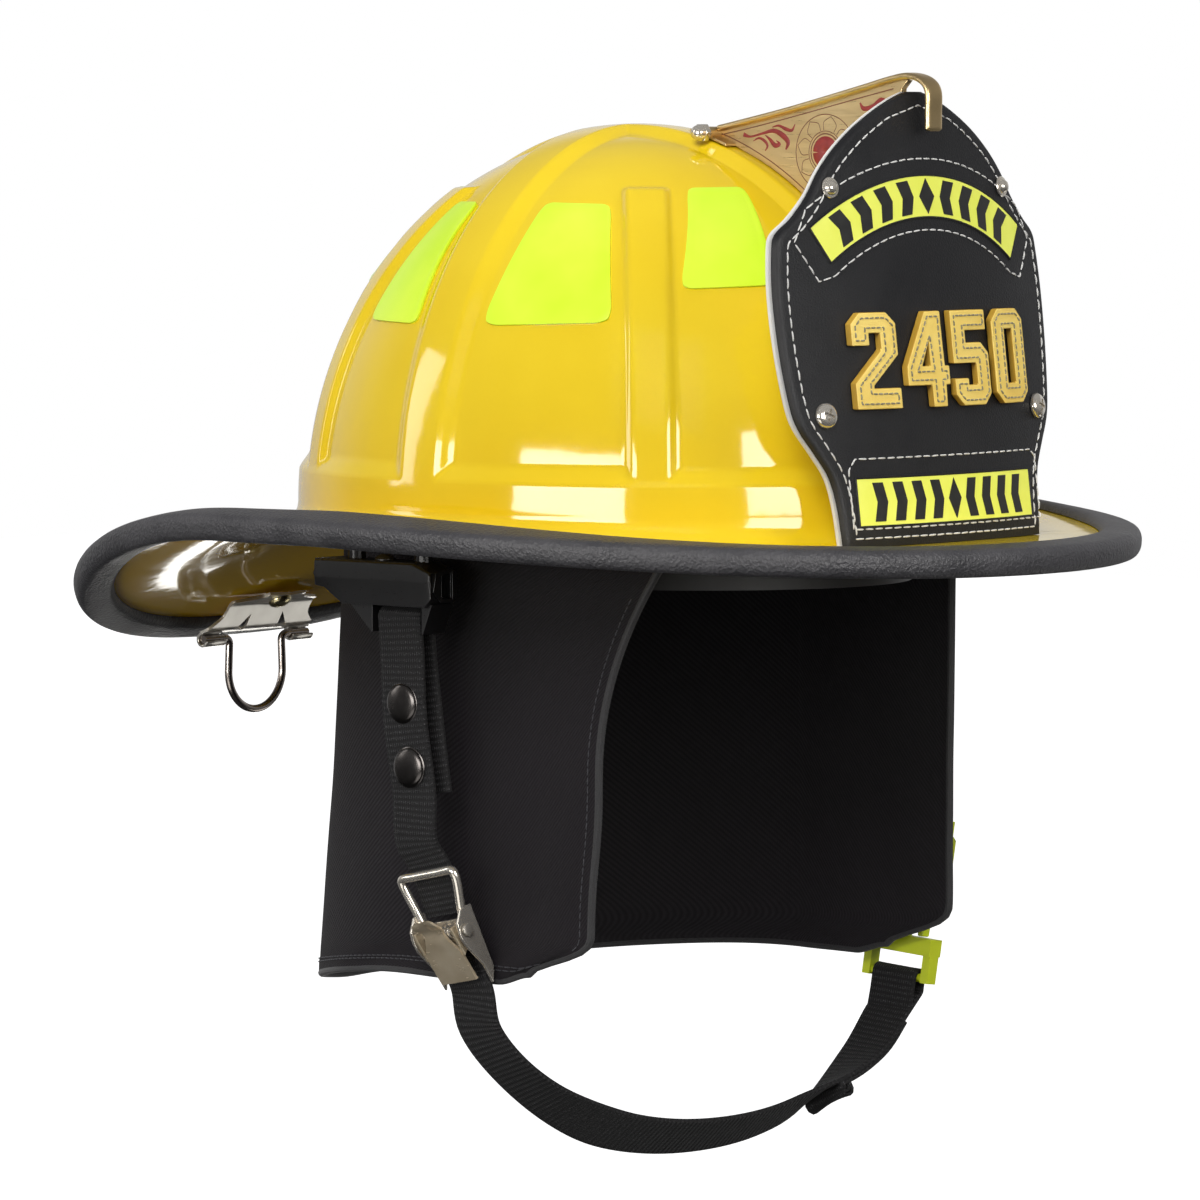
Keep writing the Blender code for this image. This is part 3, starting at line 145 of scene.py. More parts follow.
def shell_look(name):
    """Gloss yellow moulding with faint orange peel and cloudy colour, and painted shade: a deeper amber on
    faces that look downwards.
    """
    look = Look(name, Roughness=0.09, Specular_IOR_Level=0.5, Coat_Weight=0.4, Coat_Roughness=0.04)
    cloud = look.noise(14, 3, 0.5)
    colour = look.blend(look.span(cloud, 0.35, 0.65), (0.80, 0.56, 0.008), (0.87, 0.63, 0.016))
    facing = look.node("TexCoord").outputs["Normal"]
    # faces that look downwards are painted a deeper amber: painted shade of the brim's underside
    under = look.span(look.node("SeparateXYZ", [facing]).outputs[2], -0.75, -0.35, 1.0, 0.0)
    colour = look.blend(under, colour, (0.88, 0.52, 0.004))
    speck = look.span(look.noise(900, 2, 0.6), 0.3, 0.7, 0.97, 1.0)
    colour = look.blend(speck, (0.62, 0.42, 0.004), colour)
    peel = look.noise(210, 1.5, 0.4)
    wavy = look.noise(45, 2, 0.5)
    height = look.calc("ADD", look.calc("MULTIPLY", peel, 0.35), wavy)
    return look.drive("Base Color", colour).relief(height, 0.10, 0.0012)


def trim_look(name):
    """Pebbled rubber: rounded grains, with a grey tone that drifts in patches."""
    look = Look(name, Specular_IOR_Level=0.45)
    fine = look.cells(1500)
    broad = look.cells(760)
    grain = look.calc("ADD", look.calc("MULTIPLY", fine, 0.6), broad)
    patches = look.noise(60, 3, 0.6)
    look.tone(patches, (0.036, 0.035, 0.039), (0.060, 0.058, 0.063)).rough(patches, 0.42, 0.55)
    return look.relief(grain, 0.5, 0.0005)


def film_look(name):
    """Fluorescent lime film: a cloudy body with faint micro-prism cells, brightened by a weak emission of its
    own colour, which is painted glow.
    """
    look = Look(name, Roughness=0.28, Specular_IOR_Level=0.5, Coat_Weight=0.5,
                Coat_Roughness=0.08, Emission_Strength=0.10)
    cloud = look.noise(24, 3, 0.6)
    colour = look.blend(look.span(cloud, 0.3, 0.7), (0.58, 0.86, 0.012), (0.74, 0.95, 0.05))
    prism = look.cells(700, randomness=0.2)
    # the emission is painted glow that makes the film brighter than the lamps light it
    look.drive("Base Color", colour).drive("Emission Color", colour)
    return look.relief(prism, 0.06, 0.0003)


def label_film_look(name):
    # a weak emission of the film's own colour: painted glow
    look = Look(name, Roughness=0.45, Emission_Strength=0.10)
    cloud = look.noise(60, 3, 0.6)
    colour = look.blend(look.span(cloud, 0.3, 0.7), (0.80, 0.84, 0.09), (0.86, 0.90, 0.14))
    look.drive("Base Color", colour).drive("Emission Color", colour)
    return look.relief(look.noise(1600, 2), 0.08, 0.0002)


def leather_look(name, dark, light, roughness=0.42, scale=900):
    """Leather: creased grain from cell walls, pores and uneven dye."""
    look = Look(name, Specular_IOR_Level=0.4)
    creases = look.cells(scale, feature="DISTANCE_TO_EDGE")
    pores = look.noise(scale * 2.2, 3, 0.6)
    dye = look.noise(35, 4, 0.6)
    look.tone(dye, dark, light).rough(dye, roughness, roughness + 0.14)
    height = look.calc("ADD", look.span(creases, 0.0, 0.25), look.calc("MULTIPLY", pores, 0.5))
    return look.relief(height, 0.22, 0.0003)


def metal_look(name, dark, light, roughness, metallic=1.0):
    """Plated metal with a slight tone drift and fine polishing marks."""
    look = Look(name, Metallic=metallic)
    marks = look.noise(1500, 2, 0.7, look.stretched((1, 0.12, 0.12)))
    look.tone(look.noise(90, 3, 0.5), dark, light).rough(marks, roughness * 0.8, roughness * 1.3)
    return look.relief(marks, 0.05, 0.0002)


def brass_look(name):
    """Brushed sheet brass, the brushing running along the plate."""
    look = Look(name, Metallic=1.0)
    strokes = look.noise(2600, 3, 0.7, look.stretched((1, 0.03, 1)))
    look.tone(look.noise(30, 3, 0.5), (0.62, 0.45, 0.22), (0.74, 0.57, 0.31)).rough(strokes, 0.26, 0.42)
    return look.relief(strokes, 0.12, 0.0002)


def plastic_look(name, dark, light, roughness, scale=1400, strength=0.12):
    """Moulded plastic with fine spark-eroded texture."""
    look = Look(name, Specular_IOR_Level=0.5)
    texture = look.noise(scale, 3, 0.6)
    look.tone(look.noise(50, 3, 0.5), dark, light).rough(texture, roughness, roughness + 0.1)
    return look.relief(texture, strength, 0.0002)


def webbing_look(name):
    """Ribbed narrow weave: cross ribs, fine yarns in each, lighter stray fibres and a painted highlight on
    the raised weave.
    """
    look = Look(name, Specular_IOR_Level=0.3, Sheen_Weight=0.04, Sheen_Roughness=0.5,
                Roughness=0.75)
    ribs = look.wave("Y", look.uv((1, 160, 1)), 0.3)
    yarns = look.wave("X", look.uv((330, 1, 1)), 0.6)
    stray = look.noise(1, 4, 0.7, look.uv((1500, 2600, 1)))
    weave = look.calc("ADD", look.calc("MULTIPLY", ribs, look.span(yarns, 0, 1, 0.45, 1)),
                      look.calc("MULTIPLY", stray, 0.5))
    # lighter where the weave stands high and stray fibres show: the stray fibres are real, the lighter raised
    # weave is painted highlight
    stray_fibres_and_painted_highlight = look.calc("MULTIPLY", look.span(weave, 0.5, 1.2), look.span(stray, 0.52, 0.68))
    look.drive("Base Color", look.blend(stray_fibres_and_painted_highlight, (0.0045, 0.0042, 0.005), (0.125, 0.122, 0.128)))
    return look.relief(weave, 0.8, 0.0006)


def twill_look(name, dark, light, pitch):
    """Twill cloth with yarns pitch metres apart, faded in patches, with painted highlight on its raised
    yarns.
    """
    look = Look(name, Specular_IOR_Level=0.2, Sheen_Weight=0.04, Sheen_Roughness=0.45, Roughness=0.88)
    diagonal = look.wave("DIAGONAL", look.uv((0.16 / pitch, 0.16 / pitch, 1)), 0.2)
    yarns = look.wave("X", look.uv((0.32 / pitch, 1, 1)), 0.2)
    fuzz = look.noise(1, 3, 0.7, look.uv((2400, 2400, 1)))
    weave = look.calc("ADD", look.calc("MULTIPLY", diagonal, look.span(yarns, 0, 1, 0.6, 1)),
                      look.calc("MULTIPLY", fuzz, 0.6))
    fade = look.noise(18, 4, 0.6)
    # colour follows the weave's height, so raised yarns are painted lighter (painted highlight); the fade in
    # patches is the cloth's own
    tone = look.calc("MULTIPLY", look.span(weave, 0.3, 1.3), look.span(fade, 0.3, 0.75, 0.45, 1))
    look.drive("Base Color", look.blend(tone, dark, light))
    return look.relief(weave, 0.45, 0.0005)


def foam_look(name):
    look = Look(name, Roughness=0.9)
    beads = look.cells(260, feature="DISTANCE_TO_EDGE")
    # darker along the creases between the beads: painted shade
    look.tone(beads, (0.12, 0.12, 0.12), (0.30, 0.30, 0.29), 0, 0.12)
    return look.relief(look.span(beads, 0, 0.2), 0.4, 0.001)


def thread_look(name, dark, light):
    look = Look(name, Roughness=0.75, Sheen_Weight=0.2)
    ply = look.noise(2200, 3, 0.6)
    return look.tone(ply, dark, light).relief(ply, 0.4, 0.0002)


def ink_look(name, dark, light):
    look = Look(name)
    drift = look.noise(400, 3, 0.6)
    return look.tone(drift, dark, light).rough(drift, 0.4, 0.4 + 0.15).material


# what makes each look, and from which tones and numbers
RECIPES = {
    "shell_yellow": (shell_look,),
    "trim_black": (trim_look,),
    "reflective_lime": (film_look,),
    "label_yellow": (label_film_look,),
    "leather_black": (leather_look, (0.006, 0.006, 0.0075), (0.011, 0.011, 0.0125), 0.46),
    "leather_white": (leather_look, (0.66, 0.65, 0.62), (0.80, 0.79, 0.76), 0.6, 1200),
    "leather_gold": (leather_look, (0.90, 0.61, 0.11), (0.98, 0.74, 0.19), 0.36, 1300),
    "gold_edge": (leather_look, (0.42, 0.235, 0.02), (0.62, 0.37, 0.045), 0.75, 2000),
    "nickel": (metal_look, (0.66, 0.61, 0.53), (0.80, 0.755, 0.68), 0.14, 0.8),
    "nickel_pale": (metal_look, (0.70, 0.67, 0.61), (0.86, 0.83, 0.76), 0.20, 0.5),
    # nickel_warm: nickel with a warm tan tint, which is a painted reflection
    "nickel_warm": (metal_look, (0.52, 0.42, 0.28), (0.70, 0.60, 0.44), 0.22, 0.55),
    "screw_brass": (metal_look, (0.42, 0.36, 0.20), (0.55, 0.48, 0.28), 0.22),
    "ring_nickel": (metal_look, (0.34, 0.295, 0.265), (0.46, 0.41, 0.375), 0.22),
    "binding_black": (thread_look, (0.004, 0.004, 0.005), (0.016, 0.015, 0.018)),
    "gunmetal": (metal_look, (0.060, 0.055, 0.053), (0.10, 0.093, 0.09), 0.22),
    "brass": (brass_look,),
    "bracket_black": (plastic_look, (0.008, 0.0075, 0.0085), (0.012, 0.0115, 0.0125), 0.27, 1400, 0.03),
    "cap_black": (plastic_look, (0.020, 0.020, 0.021), (0.030, 0.030, 0.031), 0.42),
    "buckle_lime": (plastic_look, (0.58, 0.68, 0.010), (0.68, 0.76, 0.022), 0.32, 1100, 0.08),
    "webbing_black": (webbing_look,),
    "drape_black": (twill_look, (0.0075, 0.0058, 0.0078), (0.020, 0.0165, 0.020), 0.00050),
    "pad_black": (twill_look, (0.010, 0.010, 0.011), (0.035, 0.034, 0.036), 0.0013),
    "foam_grey": (foam_look,),
    "thread_white": (thread_look, (0.55, 0.54, 0.52), (0.84, 0.83, 0.80)),
    "thread_olive": (thread_look, (0.10, 0.085, 0.04), (0.42, 0.38, 0.25)),
    "thread_black": (thread_look, (0.010, 0.010, 0.014), (0.035, 0.034, 0.045)),
    "ink_black": (ink_look, (0.010, 0.010, 0.010), (0.018, 0.018, 0.017)),
    "ink_red": (ink_look, (0.21, 0.012, 0.013), (0.30, 0.020, 0.018)),
    "ink_brown": (ink_look, (0.14, 0.035, 0.012), (0.20, 0.055, 0.02)),
}
LOOKS = {name: make(name, *values) for name, (make, *values) in RECIPES.items()}


# Mesh helpers ------------------------------------------------------------------------------
def placed(name, data):
    """An object of the scene that carries data."""
    obj = bpy.data.objects.new(name, data)
    bpy.context.scene.collection.objects.link(obj)
    return obj


def soften(bm, width, segments, angle):
    """Rounds the edges of a mesh that turn by more than angle degrees."""
    edges = [e for e in bm.edges if len(e.link_faces) == 2 and e.calc_face_angle(0) > math.radians(angle)]
    bmesh.ops.bevel(bm, geom=edges, offset=width, segments=segments, profile=0.5, affect="EDGES",
                    clamp_overlap=True)


def piece(name, verts, faces, look, replaces=(), slot=None, body=ROOT, sharp=35, uvs=None, crisp=False):
    """A finished piece that rides on a body: faces outwards, shaded smooth, with its look."""
    mesh = bpy.data.meshes.new(name)
    mesh.from_pydata([tuple(v) for v in verts], [], [tuple(f) for f in faces])
    if uvs is not None:
        layer = mesh.uv_layers.new(name="weave")
        index = np.zeros(len(mesh.loops), np.int64)
        mesh.loops.foreach_get("vertex_index", index)
        layer.data.foreach_set("uv", np.asarray(uvs, np.float32)[index].ravel())
    bm = bmesh.new()
    bm.from_mesh(mesh)
    bmesh.ops.remove_doubles(bm, verts=bm.verts, dist=2 * WELD)
    bmesh.ops.recalc_face_normals(bm, faces=bm.faces)
    bm.to_mesh(mesh)
    bm.free()
    mesh.shade_smooth()
    if sharp:
        mesh.set_sharp_from_angle(angle=math.radians(sharp))
    obj = placed(name, mesh)
    mesh.materials.append(LOOKS[look])
    if crisp:
        obj.modifiers.new("flat_faces", "WEIGHTED_NORMAL").keep_sharp = True
    if replaces:
        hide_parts(*([replaces] if isinstance(replaces, str) else replaces))
    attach(obj, body)
    return obj


def bevelled(node, look, width, segments, angle, body=ROOT):
    """The node's own shape with rounded edges, standing for it."""
    bm = bmesh.new()
    bm.from_mesh(frame["nodes"][node].data)
    bmesh.ops.remove_doubles(bm, verts=bm.verts, dist=WELD)
    bmesh.ops.dissolve_limit(bm, angle_limit=math.radians(1), verts=bm.verts, edges=bm.edges)
    soften(bm, width, segments, angle)
    mesh = bpy.data.meshes.new(node + "_look")
    bm.to_mesh(mesh)
    bm.free()
    mesh.shade_smooth()
    mesh.set_sharp_from_angle(angle=math.radians(40))
    obj = placed(node + "_look", mesh)
    mesh.materials.clear()
    mesh.materials.append(LOOKS[look])
    obj.modifiers.new("flat_faces", "WEIGHTED_NORMAL").keep_sharp = True
    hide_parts(node)
    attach(obj, body)
    return obj


def skin(rings, wrap_rows=False):
    """Quads over equal rings of points; wrap_rows joins the last ring to the first."""
    count, rows = len(rings[0]), len(rings)
    faces = []
    for i in range(rows if wrap_rows else rows - 1):
        a, b = i * count, (i + 1) % rows * count
        for j in range(count):
            k = (j + 1) % count
            faces.append((a + j, a + k, b + k, b + j))
    return faces


def closed(rings):
    """Points and faces of a tube-like skin with flat caps."""
    verts = [p for ring in rings for p in ring]
    faces = skin(rings)
    count = len(rings[0])
    faces.append(tuple(range(count))[::-1])
    faces.append(tuple(range(len(verts) - count, len(verts))))
    return verts, faces


def looped(rings):
    """Points and faces of a skin whose last ring meets its first."""
    return [p for ring in rings for p in ring], skin(rings, wrap_rows=True)


def join(parts):
    """One list of points and faces from several."""
    verts, faces = [], []
    for points, quads in parts:
        base = len(verts)
        verts += list(points)
        faces += [tuple(base + k for k in f) for f in quads]
    return verts, faces


def slab(outer, inner):
    """Closed skin between two equal grids of points, with a wall round their edge."""
    rows, cols = len(outer), len(outer[0])
    verts = [p for row in outer for p in row] + [p for row in inner for p in row]
    base = rows * cols
    faces = []
    for i in range(rows - 1):
        for j in range(cols - 1):
            quad = (i * cols + j, i * cols + j + 1, (i + 1) * cols + j + 1, (i + 1) * cols + j)
            faces.append(quad)
            faces.append(tuple(base + k for k in reversed(quad)))
    edge = [(0, j) for j in range(cols)] + [(i, cols - 1) for i in range(1, rows)]
    edge += [(rows - 1, j) for j in range(cols - 2, -1, -1)] + [(i, 0) for i in range(rows - 2, 0, -1)]
    ids = [i * cols + j for i, j in edge]
    for k, p in enumerate(ids):
        q = ids[(k + 1) % len(ids)]
        faces.append((q, p, base + p, base + q))
    return verts, faces


def turned(profile, centre, axis, sides=40):
    """Solid of revolution from (radius, height) points along axis."""
    axis = Vector(axis).normalized()
    side = axis.orthogonal().normalized()
    up = axis.cross(side)
    rings = []
    for radius, height in profile:
        turn = [2 * math.pi * k / sides for k in range(sides)]
        rings.append([Vector(centre) + axis * height + (side * math.cos(t) + up * math.sin(t)) * radius
                      for t in turn])
    return closed(rings)


def tube(path, radius, sides, loop=False):
    """Round bar along points with a steady frame; radius may be a list."""
    points = [Vector(p) for p in path]
    rings, normal, last = [], None, len(points) - 1
    for i, p in enumerate(points):
        if loop:
            ahead = points[(i + 1) % len(points)] - points[i - 1]
        else:
            ahead = points[min(i + 1, last)] - points[max(i - 1, 0)]
        ahead.normalize()
        normal = ahead.orthogonal() if normal is None else normal - ahead * normal.dot(ahead)
        normal.normalize()
        other = ahead.cross(normal)
        r = radius[i] if isinstance(radius, (list, tuple)) else radius
        turn = [2 * math.pi * k / sides for k in range(sides)]
        rings.append([p + (normal * math.cos(t) + other * math.sin(t)) * r for t in turn])
    return looped(rings) if loop else closed(rings)


def in_mm(pairs):
    """Pairs given in millimetres, as metres."""
    return [(a * MM, b * MM) for a, b in pairs]


def smooth_path(points, steps):
    """Catmull-Rom curve through points, steps pieces between each two."""
    pts = [Vector(p) for p in points]
    pts = [pts[0] * 2 - pts[1]] + pts + [pts[-1] * 2 - pts[-2]]
    out = []
    for i in range(1, len(pts) - 2):
        a, b, c, d = pts[i - 1:i + 3]
        for k in range(steps):
            t = k / steps
            out.append(0.5 * (2 * b + (c - a) * t + (2 * a - 5 * b + 4 * c - d) * t * t
                              + (3 * b - a - 3 * c + d) * t ** 3))
    return out + [pts[-2]]


def step(low, high, value):
    """0 below low and 1 above high, smooth between."""
    t = np.clip((np.asarray(value, float) - low) / (high - low), 0, 1)
    return t * t * (3 - 2 * t)


def slope(low, high, value):
    """A straight ramp with its two ends slightly rounded."""
    t = np.clip((np.asarray(value, float) - low) / (high - low), 0, 1)
    return 0.55 * t + 0.45 * t * t * (3 - 2 * t)


# Dome and brim -----------------------------------------------------------------------------
def unit(v):
    return v / np.linalg.norm(v, axis=-1, keepdims=True)


def dome(theta, v, offset=0.0):
    """Points of the dome for degrees of turn from the front and of elevation."""
    a, b, h = DOME_A, DOME_B, DOME_H
    t, e = np.radians(theta), np.radians(v)
    x, y = -a * np.cos(e) * np.sin(t), -b * np.cos(e) * np.cos(t)
    p = np.stack(np.broadcast_arrays(x, y, h * np.sin(e)), -1)
    return p + unit(p / np.array([a * a, b * b, h * h])) * np.asarray(offset)[..., None]


def oval(a, b, theta, z):
    """Points of a level ellipse for degrees of turn from the front."""
    t = np.radians(theta)
    return np.stack([-a * np.sin(t), -b * np.cos(t), z], -1)


def rib_height(theta, v):
    """Height over the panels, from 0 to PANEL_DEPTH."""
    p = dome(theta, v)
    x, y, z = p[..., 0], p[..., 1], p[..., 2]
    height = 1 - slope(6 * MM, 11.5 * MM, np.abs(x))
    height = np.maximum(height, 1 - slope(7.5 * MM, 13.5 * MM, np.abs(y - 8 * MM)))
    height = np.maximum(height, 1 - slope(11 * MM, 17 * MM, z))
    t = np.radians(theta)
    along = np.hypot(DOME_A * np.cos(t), DOME_B * np.sin(t)) * np.cos(np.radians(v))
    for centre in (52.8, 127.2, -127.2, -52.8):
        turn = np.radians((theta - centre + 180) % 360 - 180)
        rib = (1 - slope(6 * MM, 8.8 * MM, np.abs(turn) * along)) * (1 - slope(56.5, 58.8, v))
        height = np.maximum(height, 0.8 * rib * (np.abs(turn) < 0.6))
    return PANEL_DEPTH * height


def rim(theta):
    """Edge of the brim."""
    t = np.radians(theta)
    s, c = np.sin(t), np.cos(t)
    front = c > 0
    n = np.where(front, 2.1, 2.75)
    reach = np.where(front, RIM_FRONT, RIM_REAR)
    x = -RIM_A * np.sign(s) * np.abs(s) ** (2 / n)
    y = -reach * np.sign(c) * np.abs(c) ** (2 / n)
    ahead = np.clip((20 * MM - y) / (20 * MM + RIM_FRONT), 0, None) ** 1.3
    behind = np.clip((y - TAIL_START) / (RIM_REAR - TAIL_START), 0, None) ** 2.1
    return np.stack([x, y, RIM_SIDE_Z - FRONT_DROP * ahead - TAIL_DROP * behind], -1)


def base_z(theta):
    """Height at which the dome ends, a little higher at the sides."""
    return BASE_Z + SIDE_LIFT * np.sin(np.radians(theta)) ** 6


def brim(theta, s):
    """Middle surface of the brim, from the fillet (0) to the edge (1)."""
    start = oval(DOME_A + FILLET, DOME_B + FILLET, theta, base_z(theta) - SHELL_T / 2)
    end = rim(theta)
    y = end[..., 1]
    bend = 0.9 - 0.6 * step(-150 * MM, -40 * MM, y) - 0.55 * step(60 * MM, 150 * MM, y)
    side = step(-165 * MM, -10 * MM, y) * (1 - step(110 * MM, 180 * MM, y))
    rise, fall = max(s, 1e-3) / 0.55, max(1 - s, 1e-3) / 0.4
    p = start + (end - start) * s
    p[..., 2] = start[..., 2] + (end[..., 2] - start[..., 2]) * ((1 - bend) * s + bend * s * s)
    p[..., 2] += ROLL * side * (rise ** -6 + fall ** -6) ** (-1 / 6)
    return p


def upward(ahead):
    """Directions square to ahead and nearest to upright."""
    flat = ahead * [1, 1, 0]
    run = np.linalg.norm(flat, axis=-1, keepdims=True)
    return -flat / run * ahead[..., 2:] + np.array([0, 0, 1.0]) * run


def brim_face(theta, s, side):
    """Points of the brim's upper (1) or under (-1) face."""
    up = upward(unit(brim(theta, min(s + 0.01, 1.0)) - brim(theta, s - 0.01)))
    return brim(theta, s) + up * side * SHELL_T / 2


def even_angles(count):
    """Turn angles that space points evenly along the rim."""
    fine = np.linspace(0, 360, 3601)
    p = rim(fine)
    run = np.concatenate([[0], np.cumsum(np.linalg.norm(np.diff(p, axis=0), axis=1))])
    even = np.interp(np.linspace(0, run[-1], count, endpoint=False), run, fine)
    spread = np.linspace(0, 360, count, endpoint=False)
    return 0.4 * even + 0.6 * spread


TURN = even_angles(600)


def make_shell():
    rings = []
    for v in np.concatenate([np.linspace(89, 60, 52), np.linspace(59.4, 5, 104), [4.6, 3.6, 2.5, 1.4, 0.5]]):
        rings.append(dome(TURN, v, rib_height(TURN, np.full_like(TURN, v)) - PANEL_DEPTH))
    for drop in (0.5, 2.5, 4, 5.2, 6.1, 6.8, 7.3, 7.7):
        out = FILLET * (1 - math.sqrt(1 - (drop / 8) ** 2))
        rings.append(oval(DOME_A + out, DOME_B + out, TURN, base_z(TURN) * drop / 8))
    rings += [brim_face(TURN, s, 1) for s in np.linspace(0.03, 1, 22)]
    rings += [brim_face(TURN, s, -1) for s in np.linspace(1, 0.08, 18)]
    for drop, out in ((2.7, 3.5), (1.6, 1.2), (-1, 0)):
        inset_by = out * MM - SHELL_T
        rings.append(oval(DOME_A + inset_by, DOME_B + inset_by, TURN, base_z(TURN) - drop * MM))
    for v in (4, 12, 24, 36, 48, 60, 72, 82):
        rings.append(dome(TURN, v, -SHELL_T if v == 4 else -SHELL_T - PANEL_DEPTH))
    verts = [p for ring in rings for p in ring]
    faces = skin(rings)
    count = len(TURN)
    verts += [(0, 0, DOME_H), (0, 0, DOME_H - PANEL_DEPTH - SHELL_T)]
    top, under, last = len(verts) - 2, len(verts) - 1, (len(rings) - 1) * count
    faces += [(top, (j + 1) % count, j) for j in range(count)]
    faces += [(under, last + j, last + (j + 1) % count) for j in range(count)]
    piece("shell_look", verts, faces, "shell_yellow", "shell", sharp=60)


def make_trim():
    """Rounded rubber channel over the brim's edge."""
    back, lip, half, slot = -11 * MM, 3 * MM, 4.75 * MM, SHELL_T / 2 + 0.15 * MM
    top = [(lip * 0.9, half * 0.48), (lip * 0.45, half * 0.88), (-1.5 * MM, half), (back + 3 * MM, half),
           (back + 0.7 * MM, half * 0.78), (back - 0.2 * MM, half * 0.42), (back, slot)]
    key = [(s, -n) for s, n in reversed(top)] + [(lip, 0)] + top
    outline = [(p.x, p.y) for p in smooth_path([(a, b, 0) for a, b in key], 3)]
    outline += [(0.2 * MM, slot), (0.2 * MM, -slot)]
    turn = even_angles(420)
    edge = rim(turn)
    ahead = unit(edge - brim(turn, 0.7))
    up = upward(ahead)
    rings = [edge + ahead * s + up * n for s, n in outline]
    rows = [[ring[j] for ring in rings] for j in range(len(turn))]
    piece("edge_trim_look", *looped(rows), "trim_black", "edge_trim", sharp=50)


TETS = (
    ((19.5, 58.3), (39.6, 58), (46.4, 36.1), (26.1, 36.8)),
    ((62.4, 53.6), (82, 54), (86, 29.4), (59.9, 30.2)),
    ((107.8, 54), (118.6, 54), (120, 29.8), (102.4, 29.4)),
    ((140.4, 58), (158, 58), (152, 36.8), (133.6, 36.1)),
)


def make_tets():
    """Film panels with rounded corners and a slightly raised border."""
    n, tuck, straight = 26, 0.055, 0.72

    def drawn_in(beside, along):
        past = max(0.0, abs(beside) - straight) / (1 - straight)
        return 1 - tuck * past ** 2 * abs(along) ** 6
    for side, word in ((1, "right"), (-1, "left")):
        for number, corners in enumerate(TETS, 1):
            a, b, c, d = (np.array(p) for p in corners)

            def grid(lift):
                rows = []
                for i in range(n + 1):
                    row = []
                    for j in range(n + 1):
                        # the grid is drawn in near its corners, which rounds them
                        u, w = 2 * j / n - 1, 2 * i / n - 1
                        f, g = (u * drawn_in(w, u) + 1) / 2, (w * drawn_in(u, w) + 1) / 2
                        p = (a * (1 - f) + b * f) * (1 - g) + (d * (1 - f) + c * f) * g
                        edge = 1 - max(abs(u), abs(w))
                        rise = 0.22 * MM * (1 - step(0.05, 0.13, edge)) if lift > 0.5 * MM else 0
                        fall = -0.28 * MM * (1 - step(0.0, 0.045, edge)) if lift > 0.5 * MM else 0
                        row.append(dome(side * p[0], p[1], lift + rise + fall - PANEL_DEPTH))
                    rows.append(row)
                return rows
            verts, faces = slab(grid(0.85 * MM), grid(0.1 * MM))
            name = f"tetrahedron_{word}_{number}"
            piece(name + "_look", verts, faces, "reflective_lime", name, sharp=60)


# Shared forms ------------------------------------------------------------------------------
def eased(solid, width, segments=2, angle=28):
    """The same solid with its edges rounded."""
    verts, faces = solid
    bm = bmesh.new()
    made = [bm.verts.new(v) for v in verts]
    for f in faces:
        bm.faces.new([made[k] for k in f])
    bmesh.ops.remove_doubles(bm, verts=bm.verts, dist=WELD)
    bmesh.ops.recalc_face_normals(bm, faces=bm.faces)
    soften(bm, width, segments, angle)
    bm.verts.index_update()
    out = [v.co.copy() for v in bm.verts], [tuple(v.index for v in f.verts) for f in bm.faces]
    bm.free()
    return out


def prism(outline, place, low, high):
    """Extruded outline: place(u, v, w) gives the point of (u, v) at height w."""
    return closed([[place(u, v, w) for u, v in outline] for w in (low, high)])


def block(centre, size, axes):
    """Box of the given size along three axes."""
    half = [Vector(a) * s / 2 for a, s in zip(axes, size)]
    c = Vector(centre)
    corners = ((-1, -1), (1, -1), (1, 1), (-1, 1))
    return closed([[c + k * half[2] + i * half[0] + j * half[1] for i, j in corners] for k in (-1, 1)])


def arc(centre, radius, start, end, steps, place):
    """Points of a circle from one angle to another, in degrees, each put in space by place."""
    angles = [math.radians(start + (end - start) * k / steps) for k in range(steps + 1)]
    return [place(centre[0] + radius * math.cos(t), centre[1] + radius * math.sin(t)) for t in angles]


def settle(obj):
    """Applies a piece's modifiers."""
    graph = bpy.context.evaluated_depsgraph_get()
    done = bpy.data.meshes.new_from_object(obj.evaluated_get(graph))
    obj.modifiers.clear()
    obj.data = done


def cut(obj, cutters):
    """Takes solids away from a piece."""
    for verts, faces in cutters:
        mesh = bpy.data.meshes.new("cutter")
        mesh.from_pydata([tuple(v) for v in verts], [], faces)
        bm = bmesh.new()
        bm.from_mesh(mesh)
        bmesh.ops.recalc_face_normals(bm, faces=bm.faces)
        bm.to_mesh(mesh)
        bm.free()
        cutter = placed("cutter", mesh)
        modifier = obj.modifiers.new("cut", "BOOLEAN")
        modifier.operation, modifier.object = "DIFFERENCE", cutter
        settle(obj)
        bpy.data.objects.remove(cutter)
    obj.data.set_sharp_from_angle(angle=math.radians(35))


def ribbon(path, sides, width, thickness):
    """Flat strap with soft selvedges: points, faces and weave coordinates."""
    points, across = [Vector(p) for p in path], 9
    half, t, last = width / 2, thickness / 2, len(path) - 1
    flat = [(half - 0.5 * t) * (2 * k / across - 1) for k in range(across + 1)]
    section = [(u, t * (1 + 0.12 * (abs(u) / half) ** 6)) for u in flat] + [(half, 0.4 * t), (half, -0.4 * t)]
    section += [(-u, -w) for u, w in section]
    verts, uvs, run = [], [], 0.0
    for i, p in enumerate(points):
        run += (p - points[i - 1]).length if i else 0
        ahead = (points[min(i + 1, last)] - points[max(i - 1, 0)]).normalized()
        side = Vector(sides[i])
        side = (side - ahead * side.dot(ahead)).normalized()
        out = ahead.cross(side).normalized()
        verts += [p + side * u + out * w for u, w in section]
        uvs += [(u, run) for u, w in section]
    rings = [verts[k * len(section):(k + 1) * len(section)] for k in range(len(points))]
    return (*closed(rings), uvs)


PER_STITCH = 6


